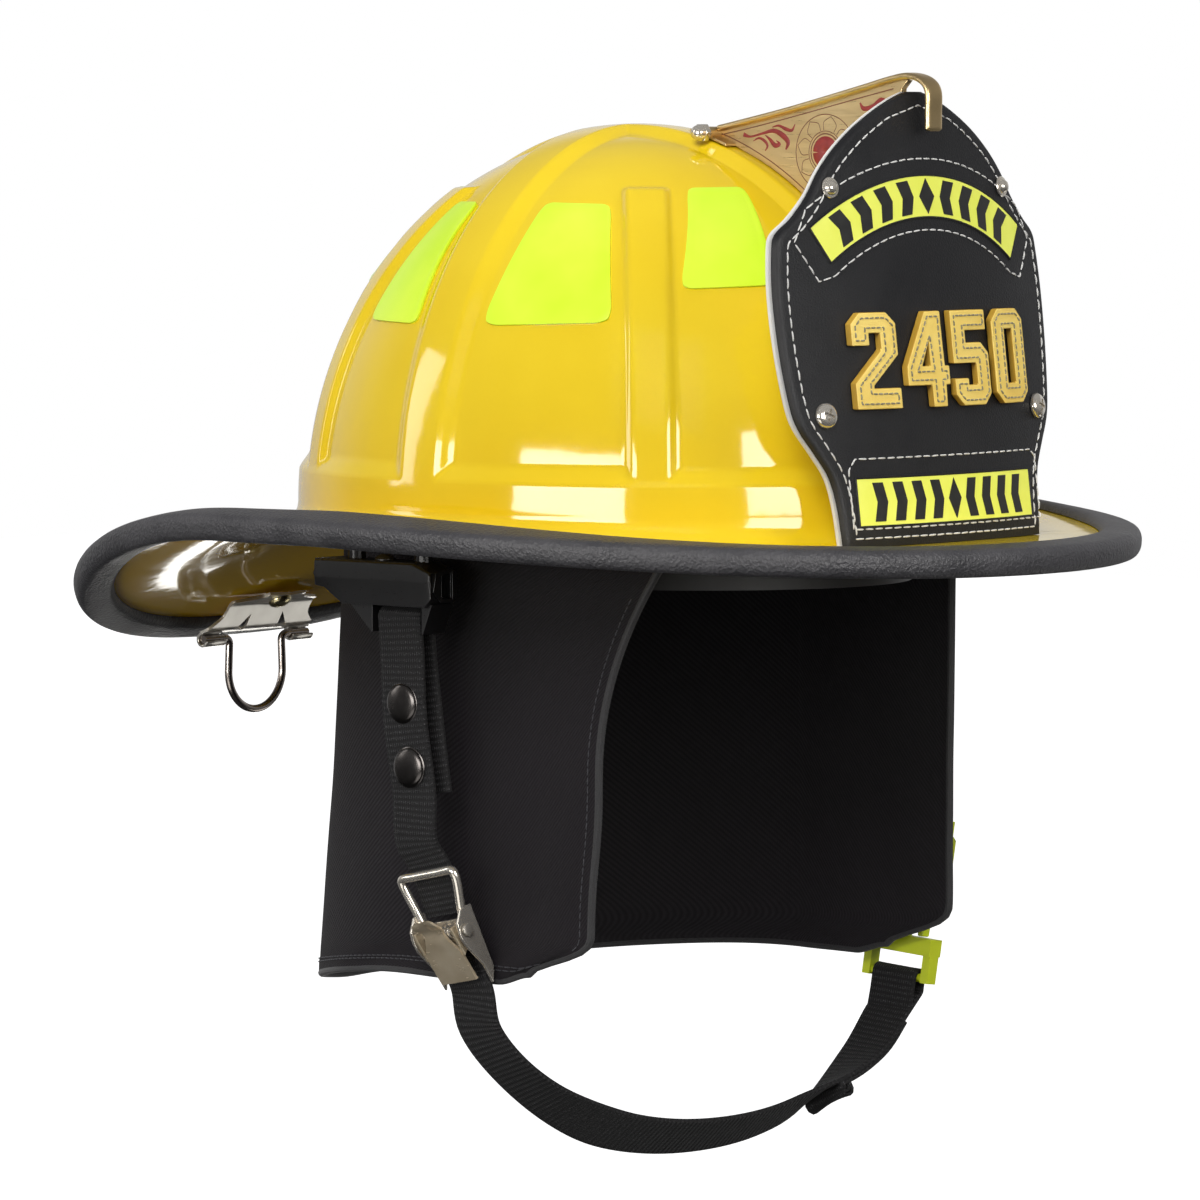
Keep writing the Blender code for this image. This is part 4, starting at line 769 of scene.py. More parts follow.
def strap(name, path, sides, width=WEB_W, thickness=WEB_T, replaces=()):
    verts, faces, uvs = ribbon(path, sides, width, thickness)
    piece(name, verts, faces, "webbing_black", replaces, "webbing_black", sharp=60, uvs=uvs)


def spaced(path, pitch):
    """How many stitches fit a path, and its points at equal distances, PER_STITCH to each."""
    p = np.array([tuple(v) for v in path])
    run = np.concatenate([[0], np.cumsum(np.linalg.norm(np.diff(p, axis=0), axis=1))])
    count = max(1, round(run[-1] / pitch))
    marks = np.linspace(0, run[-1], count * PER_STITCH + 1)
    return count, [Vector([np.interp(m, run, p[:, k]) for k in range(3)]) for m in marks]


def sew(name, paths, up, look, slot, pitch=4.2 * MM, radius=0.29 * MM):
    """Rows of separate stitches that dive into the surface at both ends; up(p) points out of it."""
    rise, girth = (-0.7, 0.15, 0.45, 0.45, 0.15, -0.7), (0.6, 0.95, 1, 1, 0.95, 0.6)
    parts, draw = [], random.Random(name)
    for path in paths:
        count, points = spaced(path, pitch)
        for k in range(count):
            bit = points[PER_STITCH * k:PER_STITCH * (k + 1)]
            out = up(bit[2])
            lean = out.cross(bit[-1] - bit[0]).normalized() * draw.uniform(-0.3, 0.3) * radius
            line = [p + out * radius * h + lean * (j / 2.5 - 1) for j, (p, h) in enumerate(zip(bit, rise))]
            parts.append(tube(line, [radius * g for g in girth], 6))
    return piece(name, *join(parts), look, slot=slot)


# Front shield ------------------------------------------------------------------------------
SHIELD_HALF = 1.5 * MM
SHIELD_LOW = -8
SHIELD_Y, SHIELD_LEAN, SHIELD_BOW = -136, 0.125, 1.9
# the outline's heights and half widths, in millimetres
SHIELD_KEYS = ((-8, 51.5), (4, 52.3), (14, 54.5), (22, 59.5), (30, 65), (38, 67.5), (55, 69.5), (72, 70),
               (86, 68.8), (92, 67), (97, 60.5), (104, 53.5), (112, 47.5), (119, 40.5), (126, 31), (132, 20),
               (136, 10.5), (138, 4))
OUTLINE = [(p.x, p.y - 0.7) for p in smooth_path([(z, half, 0) for z, half in SHIELD_KEYS], 4)]


def shield(x, z, w):
    """Point over the shield's middle surface, w in front of it."""
    return Vector((x, (SHIELD_Y + SHIELD_LEAN * (z / MM - SHIELD_LOW)) * MM + SHIELD_BOW * x * x - w, z))


def shield_out(p):
    """Direction that faces out of the shield at p."""
    return Vector((2 * SHIELD_BOW * p.x, -1, SHIELD_LEAN)).normalized()


def shield_sheet(grow, front, back, edge=0.0):
    """The shield's whole shape between two heights, its front edge rounded down by edge."""
    ins = [0, 0.2, 0.55, 1.1]
    grids = []
    for w in (front, back):
        rows = []
        for i, (z, half) in enumerate(OUTLINE):
            extra = grow / MM * (1 - float(step(96, 108, z)))
            near, far = OUTLINE[max(i - 1, 0)], OUTLINE[min(i + 1, len(OUTLINE) - 1)]
            lean = 1 / math.hypot(1, (far[1] - near[1]) / max(far[0] - near[0], 0.1))
            h = half + extra
            inner = np.linspace(-(h - 2.2), h - 2.2, 25)
            xs = [-(h - d) for d in ins] + list(inner) + [h - d for d in reversed(ins)]
            row = []
            for x in xs:
                d = min((h - abs(x)) * lean, (z - SHIELD_LOW + 0.01) * 2)
                fall = edge * (1 - min(1.0, d / 1.1)) ** 2 if w == front else 0
                row.append(shield(x * MM, z * MM, w - fall))
            rows.append(row)
        grids.append(rows)
    return slab(*grids)


def inset(points, depth):
    """A closed outline moved inwards (or outwards where it runs clockwise)."""
    out, n = [], len(points)
    for k, p in enumerate(points):
        a, b = Vector(p) - Vector(points[k - 1]), Vector(points[(k + 1) % n]) - Vector(p)
        na, nb = Vector((-a.y, a.x)).normalized(), Vector((-b.y, b.x)).normalized()
        out.append(Vector(p) + (na + nb) * depth / max(0.35, 1 + na.dot(nb)))
    return out


def on_shield(points, w=SHIELD_HALF, loop=True):
    """The line through (x, z) points, in millimetres, laid on the shield's curve."""
    corners, line = [Vector((x, z)) for x, z in points], []
    if loop:
        corners.append(corners[0])
    for a, b in zip(corners, corners[1:]):
        count = max(1, math.ceil((b - a).length / 2))
        line += [a.lerp(b, k / count) for k in range(count)]
    return [shield(p.x * MM, p.y * MM, w) for p in line + corners[-1:]]


def polar(radius, degrees):
    """Point of the arc panel's circle, degrees from its top towards the wearer's left."""
    t = math.radians(90 - degrees)
    return radius * math.cos(t), 13 + radius * math.sin(t)


def make_leather():
    front = shield_sheet(0, SHIELD_HALF, -SHIELD_HALF + 0.4 * MM, 0.7 * MM)
    piece("leather_front_look", *front, "leather_black", "leather_front", sharp=70)
    back = SHIELD_HALF + 0.05 * MM
    piece("shield_backing_look", *shield_sheet(0.7 * MM, -back, -back - 1.1 * MM), "leather_white",
          "shield_backing")
    right = [(half, z) for z, half in OUTLINE if z < 134]
    outline = right + [(0, 137.6)] + [(-x, z) for x, z in reversed(right)]
    border = inset(outline, 3.9)
    line = on_shield(border[1:-1], loop=False)
    arc_out = [polar(103.3, d) for d in np.linspace(-32.5, 32.5, 30)]
    arc_in = [polar(80.2, d) for d in np.linspace(35, -35, 26)]
    arc_frame = [polar(98, -38.6), *arc_out, polar(98, 38.6), polar(83, 39.5), *arc_in, polar(83, -39.5)]
    box_frame = [(-48, -2.2), (-48, 16.5), (-45, 20.2), (48.5, 20.2), (51, 17.5), (51, -2.2)]
    low = [(x, -5.2) for x in np.linspace(-47.5, 47.5, 12)]
    lines = [line, on_shield(arc_frame), on_shield(box_frame), on_shield(low, loop=False)]
    sew("shield_stitches", lines, shield_out, "thread_white", "leather_white")


def make_panels():
    """Two film panels let into the leather, with plain arrow marks on them."""
    film, mark = SHIELD_HALF + 0.25 * MM, SHIELD_HALF + 0.42 * MM
    rows_up, marks, pitch = 8, 9, 0.098
    arrow = ((0.034, 0.10), (-0.016, 0.10), (-0.034, 0.5), (-0.016, 0.90), (0.034, 0.90), (0.016, 0.5))
    diamond = ((-0.036, 0.5), (0, 0.08), (0.036, 0.5), (0, 0.92))

    def arc_point(f, g):
        return polar(84.3 + 13.7 * g, -34 + 68 * f)

    def low_point(f, g):
        return -45.5 + 91 * f, -1.5 + 15.6 * g
    for name, place, columns in (("arc_panel", arc_point, 36), ("lower_panel", low_point, 24)):
        def grid(w):
            rows = []
            for i in range(rows_up + 1):
                row = []
                for j in range(columns + 1):
                    f, g = j / columns, i / rows_up
                    # only the outermost corners are drawn in
                    tuck = 0.006 * max(0, abs(2 * g - 1) - 0.7) / 0.3
                    f = min(max(f, tuck), 1 - tuck)
                    x, z = place(f, g)
                    row.append(shield(x * MM, z * MM, w))
                rows.append(row)
            return rows
        piece(name + "_look", *slab(grid(film), grid(SHIELD_HALF - 0.6 * MM)), "label_yellow", name,
              slot="reflective_lime", sharp=50)
        edge = [place(k / columns, 0) for k in range(columns + 1)]
        edge += [place(1, 0.5)] + [place(1 - k / columns, 1) for k in range(columns + 1)] + [place(0, 0.5)]
        round_it = spaced(on_shield(edge, SHIELD_HALF + 0.1 * MM), 3 * MM)[1]
        piece(name + "_window", *tube(round_it[:-1], 0.42 * MM, 8, loop=True), "leather_black")
        parts, half = [], marks // 2
        for k in range(-half, half + 1):
            side = (k > 0) - (k < 0)
            shape = [(side * a, b) for a, b in arrow] if side else diamond
            corners = [place(0.5 + k * pitch + a, b) for a, b in shape]
            parts.append(prism(corners, lambda x, z, w: shield(x * MM, z * MM, w), film - 0.2 * MM, mark))
        piece(name + "_marks", *join(parts), "ink_black", slot="leather_black")


def cap_loops(node):
    """Closed edge loops of a numeral's front face as (x, z) in millimetres."""
    bm = bmesh.new()
    bm.from_mesh(frame["nodes"][node].data)
    bmesh.ops.remove_doubles(bm, verts=bm.verts, dist=1e-5)
    bm.normal_update()
    follow = {}
    for edge in bm.edges:
        caps = [f for f in edge.link_faces if f.normal.y < -0.7]
        if len(caps) == 1 and len(edge.link_faces) == 2:
            loop = next(l for l in caps[0].loops if l.edge == edge)
            follow[loop.vert.index] = loop.link_loop_next.vert.index
    bm.verts.ensure_lookup_table()
    loops = []
    while follow:
        start = k = next(iter(follow))
        loop = []
        while k in follow:
            loop.append(k)
            k = follow.pop(k)
        if k == start:
            loops.append([(bm.verts[i].co.x / MM, bm.verts[i].co.z / MM) for i in loop])
    bm.free()
    return loops


def make_digits():
    """Raised numerals with rough cut edges and a row of stitches inside every outline."""
    for k in range(1, 5):
        node = f"digit_{k}"
        obj = bevelled(node, "leather_gold", 0.45 * MM, 2, 40)
        mesh = obj.data
        mesh.materials.append(LOOKS["gold_edge"])
        for face in mesh.polygons:
            face.material_index = int(face.normal.y > -0.45)
        lines = [on_shield(inset(loop, 1.75), 4.3 * MM) for loop in cap_loops(node)]
        sew(node + "_stitches", lines, shield_out, "thread_olive", "leather_gold", 2.3 * MM, 0.30 * MM)


def make_shield_fasteners():
    rivet = ((1, 0), (1.02, 0.3), (0.95, 0.6), (0.72, 0.7), (0.66, 1.2), (0.5, 2), (0.28, 2.4), (0, 2.5))
    screw = ((1, 0), (1, 0.6), (0.94, 1.2), (0.8, 1.8), (0.55, 2.2), (0.25, 2.4), (0, 2.45))
    for side, word in ((-1, "right"), (1, "left")):
        for name, profile, r, x, z in (("rivet", rivet, 3.4 * MM, 45 * MM, 107 * MM),
                                       ("screw", screw, 4.2 * MM, 55.5 * MM, 34.3 * MM)):
            at = shield(side * x, z, SHIELD_HALF + 0.35 * MM)
            out, node = shield_out(at), f"shield_{name}_{word}"
            solid = turned([(r * g, h * MM) for g, h in profile], at, out)
            head = piece(node + "_look", *solid, "nickel", node, sharp=40)
            if name == "screw":
                along = Vector((0.35, 0, 1)).cross(out).normalized()
                across = out.cross(along)
                top = at + out * 2.4 * MM
                cut(head, [block(top, (4.4 * MM, 1 * MM, 2 * MM), (along, across, out)),
                           block(top, (1 * MM, 4.4 * MM, 2 * MM), (along, across, out))])


# Brass holder ------------------------------------------------------------------------------
NUT_Y = -36 * MM
ROSETTE_Y, ROSETTE_Z = -82.5, 118.3


def ridge(y):
    """Height of the dome's middle line."""
    return math.sqrt(1 - (y / DOME_B) ** 2) * DOME_H


def side_on(u, v, w):
    """Point of the middle plane (u back, v up) at w to the wearer's left."""
    return Vector((w, u, v))


def drawn(name, strokes, look, side):
    """Painted lines on one face of the plate: (path in y and z, widths)."""
    parts = []
    for path, widths in strokes:
        line = smooth_path([(0, y * MM, z * MM) for y, z in path], 6)
        along = np.linspace(0, len(widths) - 1, len(line))
        r = [max(0.06, w) * MM for w in np.interp(along, range(len(widths)), widths)]
        verts, faces = tube(line, r, 8)
        parts.append(([Vector((side * (1.42 * MM + v.x * 0.18), v.y, v.z)) for v in verts], faces))
    piece(name, *join(parts), look, slot="brass")


def around_rosette(r, t):
    """Point of the plate's rosette, in millimetres."""
    return ROSETTE_Y + r * math.cos(t), ROSETTE_Z + r * math.sin(t)


def circle(r, width):
    """Painted circle of the rosette."""
    return [around_rosette(r, t) for t in np.linspace(0, 2 * math.pi, 25)], [width]


def make_holder():
    lower = [(y * MM, ridge(y * MM) + 0.5 * MM) for y in range(-100, -29, 5)]
    upper = [(-30, 126.2), (-34, 126.2), (-68, 132), (-97, 138.5), (-112, 141.8), (-117, 141.8),
             (-114.4, 139), (-111, 100)]
    plate = eased(prism(lower + in_mm(upper), side_on, -1.4 * MM, 1.4 * MM), 0.25 * MM)
    centre = smooth_path([(0, y * MM, z * MM) for y, z in (
        (-37, 126.2), (-46, 127.9), (-68, 132.3), (-97, 138.9), (-110, 142), (-117.5, 143.1), (-123.4, 141.6),
        (-126.3, 138), (-126.4, 131), (-126.4, 125.2))], 8)
    rings, last = [], len(centre) - 1
    for i, p in enumerate(centre):
        ahead = (centre[min(i + 1, last)] - centre[max(i - 1, 0)]).normalized()
        out = Vector((1, 0, 0)).cross(ahead)
        shrink = 0.72 if i in (0, last) else 1
        ring = []
        for k in range(24):
            c, s = math.cos(k * math.pi / 12), math.sin(k * math.pi / 12)
            x = math.copysign(abs(c) ** 0.6, c) * 3.9 * MM * shrink
            ring.append(p + Vector((x, 0, 0)) + out * (math.copysign(abs(s) ** 0.6, s) * 1.15 * MM * shrink))
        rings.append(ring)
    saddle = [(y * MM, ridge(y * MM) + 0.4 * MM) for y in (-44, -41, -38, -35, -32, -29, -28)]
    saddle += [(y * MM, ridge(y * MM) + 1.5 * MM) for y in (-28, -29, -32, -35, -38, -41, -44)]
    foot = eased(prism(saddle, side_on, -6.4 * MM, 6.4 * MM), 0.4 * MM)
    at, start = ridge(NUT_Y) + 2.2 * MM, 7.6 * MM + GAP
    bolt_axis = (0, NUT_Y, at)
    barrel = turned(in_mm([(0, -7.6), (1.8, -7.6), (2.1, -7.3), (2.1, 7.3), (1.8, 7.6), (0, 7.6)]), bolt_axis,
                    (1, 0, 0), 28)
    piece("front_holder_look", *join([plate, closed(rings), foot, barrel]), "brass", "front_holder", sharp=40,
          crisp=True)
    for side, word in ((-1, "right"), (1, "left")):
        line = [([(-38, 124.2), (-50, 126.3), (-68, 129.9), (-97, 136.1), (-111, 139)], [0.19]),
                ([(y, ridge(y * MM) / MM + 2.6) for y in range(-38, -100, -4)], [0.19])]
        rings = [circle(r, width) for r, width in ((6.1, 0.2), (7.0, 0.14), (12.5, 0.16))]
        petals = []
        for k in range(8):
            t = k * math.pi / 4 + 0.2
            for lean in (-0.3, 0.3):
                petal = ((7.3, t + lean), (10, t + lean * 0.9), (12, t))
                petals.append(([around_rosette(r, turn) for r, turn in petal], [0.13]))
        drawn(f"holder_lines_{word}", line + rings + petals, "ink_brown", side)
        scrolls = []
        for path, widths in (
                ([(-47.5, 121.6), (-50.5, 120.9), (-55.5, 121.9), (-60.5, 122.8), (-64.4, 121.2),
                  (-66.6, 118.9), (-65.6, 116.6)],
                 [0.75, 0.35, 0.4, 0.75, 1.0, 0.9, 0.3]),
                ([(-51.6, 119.4), (-54.2, 120.4), (-56.6, 119.4), (-57.8, 117.8), (-56.8, 116.2)],
                 [0.12, 0.4, 0.55, 0.45, 0.2]),
                ([(-56.8, 121.4), (-59, 119.8), (-61, 118), (-63, 118.4), (-61.6, 119.6)],
                 [0.15, 0.6, 0.85, 0.55, 0.15]),
                ([(-59.8, 124), (-62.6, 124.5), (-65.6, 123.4), (-68.2, 123), (-69.6, 125)],
                 [0.15, 0.4, 0.65, 0.5, 0.15]),
                ([(-97, 131.9), (-98.6, 130), (-102.4, 130.6), (-106, 132.6), (-108.8, 130.6),
                  (-108.2, 127.6), (-105.4, 127.4)],
                 [0.3, 0.8, 0.8, 1.0, 0.9, 0.6, 0.3]),
                ([(-98.6, 127.4), (-101.4, 127.6), (-103.4, 125.6), (-102, 123.4), (-99.8, 124.2)],
                 [0.15, 0.55, 0.75, 0.5, 0.2]),
                ([(-104.8, 124.4), (-107.4, 122.6), (-107, 119), (-104.4, 118.4)], [0.15, 0.6, 0.65, 0.2])):
            scrolls.append(([(y, z + 2.6) for y, z in path], widths))
        drawn(f"holder_scrolls_{word}", scrolls + [circle(2.6, 2.7)], "ink_red", side)
    hexagon = [(3.3 * MM * math.cos(k * math.pi / 3), 3.3 * MM * math.sin(k * math.pi / 3)) for k in range(6)]
    body = eased(prism(hexagon, lambda a, b, c: Vector((-c, NUT_Y + a, at + b)), start, start + 2.4 * MM),
                 0.3 * MM)
    cap = in_mm([(2.7, 2.3), (2.7, 3.3), (2.3, 4.4), (1.4, 5), (0, 5.2)])
    dome_nut = turned([(r, start + h) for r, h in cap], bolt_axis, (-1, 0, 0), 28)
    piece("holder_nut_look", *join([body, dome_nut]), "nickel", "holder_nut", sharp=40, crisp=True)
    head = in_mm([(0.95, 0), (3.1, 0), (3.1, 0.9), (2.6, 1.7), (1.6, 2.1), (0, 2.2)])
    bolt = turned([(0.95 * MM, GAP - start)] + [(r, start + h) for r, h in head], bolt_axis, (1, 0, 0), 28)
    piece("holder_bolt_look", *bolt, "nickel", "holder_bolt", sharp=40)


# Straps, slide and buckle ------------------------------------------------------------------
LOOP_R = BAR_R + GAP + WEB_T / 2
SLIDE_TOP = Vector((-103 * MM, 3 * MM, -118.5 * MM))
SLIDE_DOWN = Vector((0.28, -0.22, -0.935)).normalized()
SLIDE_WIDE = (Vector((0, 1, 0)) - SLIDE_DOWN * SLIDE_DOWN.y).normalized()
SLIDE_OUT = SLIDE_WIDE.cross(SLIDE_DOWN).normalized()
BUCKLE_LOW, BUCKLE_L = Vector((94.5 * MM, -38.5 * MM, -167 * MM)), 54 * MM
BUCKLE_UP = Vector((0.13, -0.06, 0.99)).normalized()
BUCKLE_WIDE = (Vector((0, 1, 0)) - BUCKLE_UP * BUCKLE_UP.y).normalized()
BUCKLE_OUT = BUCKLE_WIDE.cross(BUCKLE_UP).normalized()


def slide_point(u, v, w):
    """Point u across the slide, v down it and w out of it."""
    return SLIDE_TOP + SLIDE_WIDE * u + SLIDE_DOWN * v + SLIDE_OUT * w


def buckle_point(u, v, w):
    """Point u across the buckle, v up it and w out of it."""
    return BUCKLE_LOW + BUCKLE_WIDE * u + BUCKLE_UP * v + BUCKLE_OUT * w


def bar_loop(side):
    """The strap's turn round a bracket's bar."""
    return arc((0, 0), LOOP_R, 0, 180, 14, lambda a, b: Vector((side * (SIDE_X - a), BAR_Y, BAR_Z + b)))


def turning(path, last):
    """Width directions that go from fore and aft at the bracket to last at the fitting."""
    return [Vector((0, 1, 0)).lerp(last, float(step(90 * MM, 112 * MM, -p.z))) for p in path]


def make_webbing():
    inner, around = SIDE_X - LOOP_R, 1.6 * MM + GAP + WEB_T / 2
    path = smooth_path([(-inner, 3 * MM, -92 * MM), (-inner - 0.3 * MM, 5.5 * MM, -75 * MM),
                        (-inner, 9.5 * MM, -50 * MM)], 8)
    path += bar_loop(-1)
    path += smooth_path([(-SIDE_X - LOOP_R, 10 * MM, -46 * MM), (-SIDE_X - 2.6 * MM, 9 * MM, -68 * MM),
                         (-SIDE_X - 1.8 * MM, 6 * MM, -90 * MM), slide_point(0, -12 * MM, -1.2 * MM),
                         slide_point(0, -3 * MM, -2.6 * MM), slide_point(0, 6 * MM, -2.7 * MM),
                         slide_point(0, 15 * MM, -2.5 * MM)], 8)
    strap("strap_upper_right_look", path, turning(path, SLIDE_WIDE), replaces="strap_upper_right")
    path = smooth_path([(inner, -3 * MM, -84 * MM), (inner, 3 * MM, -70 * MM), (inner, 9.5 * MM, -48 * MM)],
                       8)
    path += bar_loop(1)
    top = buckle_point(0, BUCKLE_L, 0)
    path += smooth_path([(SIDE_X + LOOP_R, 9 * MM, -45 * MM), (SIDE_X + 2.4 * MM, -2 * MM, -63 * MM),
                         (SIDE_X + 2 * MM, -16 * MM, -78 * MM), (SIDE_X + 1.5 * MM, -30 * MM, -91 * MM),
                         top + BUCKLE_UP * 12 * MM + BUCKLE_OUT * around + Vector((0, 1.6 * MM, 0)),
                         top + BUCKLE_UP * 3 * MM + BUCKLE_OUT * around], 8)
    path += arc((0, 0), around, 90, -90, 10, lambda a, b: top - BUCKLE_UP * a + BUCKLE_OUT * b)
    path.append(top + BUCKLE_UP * 7 * MM - BUCKLE_OUT * around)
    strap("strap_upper_left_look", path, turning(path, BUCKLE_WIDE), replaces="strap_upper_left")
    x = -SIDE_X - 2.45 * MM - WEB_T / 2 - GAP / 2
    button = [(6.1, 0), (6.35, 0.3), (6.3, 0.65), (5.95, 0.95), (5, 1.2), (3.6, 1.42), (1.8, 1.55), (0, 1.6)]
    flange = [(6.6, -0.5), (6.8, 0.0), (6.2, 0.25), (5.2, 0.3)]
    for k, (y, z) in enumerate(in_mm([(9.8, -62), (6.8, -83)]), 1):
        for name, profile, node in (("look", button, f"snap_{k}"), ("flange", flange, ())):
            solid = turned(in_mm(profile), (x, y, z), (-1, 0, 0), 48)
            piece(f"snap_{k}_{name}", *solid, "gunmetal", node, slot="nickel")


PIN_V, PIN_W = 20 * MM, 3.2 * MM


def make_slide():
    half = [(11.4, 0, 0), (12.6, 1.5, 0), (12.2, 5, 0), (10.5, 12, 0.4), (9.6, 17, 0.6)]
    line = [(-u, v, w) for u, v, w in reversed(half)] + [(-6, 0, 0), (0, 0, 0), (6, 0, 0)] + half
    loop = smooth_path([slide_point(u * MM, v * MM, w * MM) for u, v, w in line], 5)
    parts = [tube(loop, 1.5 * MM, 16)]
    cheek = [(13, -2.8), (35, -2.8), (40, 0), (33, 1.2), (24, 5.8), (21, 6.3), (17, 5.8), (13, 2.2)]
    for u in (-11.2 * MM, 11.2 * MM):
        side = prism(in_mm(cheek), lambda a, b, c: slide_point(c, a, b), u - 0.6 * MM, u + 0.6 * MM)
        parts.append(eased(side, 0.28 * MM))
    parts.append(eased(block(slide_point(0, 27 * MM, -2.3 * MM), (22.4 * MM, 20 * MM, 1.1 * MM),
                             (SLIDE_WIDE, SLIDE_DOWN, SLIDE_OUT)), 0.3 * MM))
    piece("slide_frame_look", *join(parts), "nickel", "slide_frame", sharp=40, crisp=True)
    end = [(1.2, 12.2), (2.1, 12.2), (2.15, 12.5), (2.0, 12.9), (1.4, 13.1)]
    profile = in_mm([(r, -h) for r, h in reversed(end)] + end)
    pin = turned(profile, slide_point(0, PIN_V, PIN_W), SLIDE_WIDE, 28)
    piece("slide_pin_look", *pin, "nickel", "slide_pin", sharp=40)

    def lever_place(a, b, c):
        return slide_point(c, PIN_V + a, PIN_W + b)
    upper = [(p.x, p.y) for p in smooth_path([(a * MM, b * MM, 0) for a, b in (
        (-7, 7.4), (-5.6, 7.1), (-4.2, 6.1), (-2, 3.8), (1.6, 3.5), (6, 2.6), (11, 1.7), (17, 0.4))], 6)]
    top = []
    for a, b in upper:
        half = float(np.interp(a / MM, (-7, -6.3, -4.6, -2.8, -1, 2, 6),
                               (2.6, 4.5, 5.6, 4.8, 4.3, 5.6, 8.2))) * MM
        row = []
        for c in np.linspace(-half, half, 21):
            dip = MM * math.exp(-(c ** 2 + (a + 4.5 * MM) ** 2) / (2.4 * MM) ** 2)
            row.append(lever_place(a, b - dip, c))
        top.append(row)
    under = [[p - SLIDE_OUT * 1.1 * MM for p in row] for row in top]
    parts = [slab(top, under)]
    ear = [(-3, -2.6), (3.2, -2.6), (8, 2), (-2.4, 4)]
    for low, high in ((8.2 * MM, 9.4 * MM), (-9.4 * MM, -8.2 * MM)):
        parts.append(eased(prism(in_mm(ear), lever_place, low, high), 0.25 * MM))
    # the lever's nickel takes a warm tan tint, which is painted reflection
    piece("slide_lever_look", *join(parts), "nickel_warm", "slide_lever", slot="nickel", body="lever",
          sharp=40, crisp=True)
    helix, coils = [], 7
    for turn in np.linspace(0, coils, coils * 20 + 1):
        t = 2 * math.pi * turn
        across = SLIDE_DOWN * math.cos(t) + SLIDE_OUT * math.sin(t)
        helix.append(slide_point((-5.6 + 1.6 * turn) * MM, PIN_V, PIN_W) + across * 1.95 * MM)
    piece("slide_spring_look", *tube(helix, 0.38 * MM, 8), "nickel", "slide_spring")


def chin_line():
    """The chin strap's middle line and width directions, from the slide to the buckle's lower bar."""
    points = [slide_point(0, 27 * MM, -0.9 * MM), slide_point(0, 35 * MM, -0.9 * MM),
              slide_point(0, 42 * MM, -0.6 * MM)]
    points += [Vector(p) * MM for p in (
        (-87, -6.5, -171), (-77.5, -12, -185), (-61, -18, -198), (-36, -22, -208.5), (-5, -26, -213.5),
        (28, -30, -212.5), (56, -34, -204.5), (77, -36.5, -192), (88.5, -38, -179.5))]
    path = smooth_path(points + [buckle_point(0, -5 * MM, 2.6 * MM)], 8)
    around = 1.5 * MM + GAP + WEB_T / 2
    path += arc((0, 0), around, 90, -90, 10, lambda a, b: buckle_point(0, a, b))
    path += [buckle_point(0, -6 * MM, -around), buckle_point(0, -12 * MM, -around - 0.4 * MM)]
    sides = []
    for p in path:
        chin = 1 - float(step(40 * MM, 92 * MM, abs(p.x)))
        across = SLIDE_WIDE.lerp(BUCKLE_WIDE, float(step(-60 * MM, 60 * MM, p.x)))
        sides.append(across.lerp(Vector((0, 0.75, -0.66)), chin))
    return path, sides


def make_chin_strap():
    path, sides = chin_line()
    strap("chin_strap_look", path, sides, replaces="chin_strap")
    # the strap's sewn tail lies doubled on its outer face, ended by a rolled tab
    tail_x, tail_end = 58 * MM, 88
    tail, tail_sides = [], []
    for k in range(tail_end):
        if path[k].x <= tail_x:
            continue
        ahead = (path[k + 1] - path[k - 1]).normalized()
        out = ahead.cross(sides[k]).normalized()
        out = out if out.z < 0 else -out
        tail.append(path[k] + out * (WEB_T + 0.1 * MM))
        tail_sides.append(sides[k])
    strap("chin_strap_tail", tail, tail_sides, WEB_W * 0.98)
    first, ahead = tail[0], (tail[1] - tail[0]).normalized()
    down = ahead.cross(tail_sides[0]).normalized()
    down = down if down.z < 0 else -down
    roll = []
    for k in range(26):
        t = k * 0.42
        r = (2.3 - 0.06 * k) * MM
        roll.append(first - ahead * (0.5 * MM + r * math.sin(t)) + down * (r - r * math.cos(t)))
    strap("chin_strap_tab", roll, [tail_sides[0]] * len(roll), WEB_W, 1.1 * MM)


def make_buckle():
    for node, body in (("buckle_female", ROOT), ("buckle_male", ROOT), ("prong_rear", "rear_prong"),
                       ("prong_front", "front_prong")):
        bevelled(node, "buckle_lime", 0.5 * MM, 2, 30, body=body)
    for side, body in ((-1, "front_prong"), (1, "rear_prong")):
        ribs = []
        for k in range(5):
            ends = [buckle_point(side * 13.6 * MM, (31.5 + 2.4 * k) * MM, w) for w in (-2.2 * MM, 2.2 * MM)]
            ribs.append(tube(ends, 0.5 * MM, 8))
        piece(f"{body}_ribs", *join(ribs), "buckle_lime", body=body)


# Shell brackets, in millimetres: the outer wall's heights, its place and its two ends
BRACKET_LOW, BRACKET_CREASE, BRACKET_HIGH, BRACKET_OUT = -30, -21.5, -15.5, 6.5
FRONT_Y, REAR_Y = -6, 46


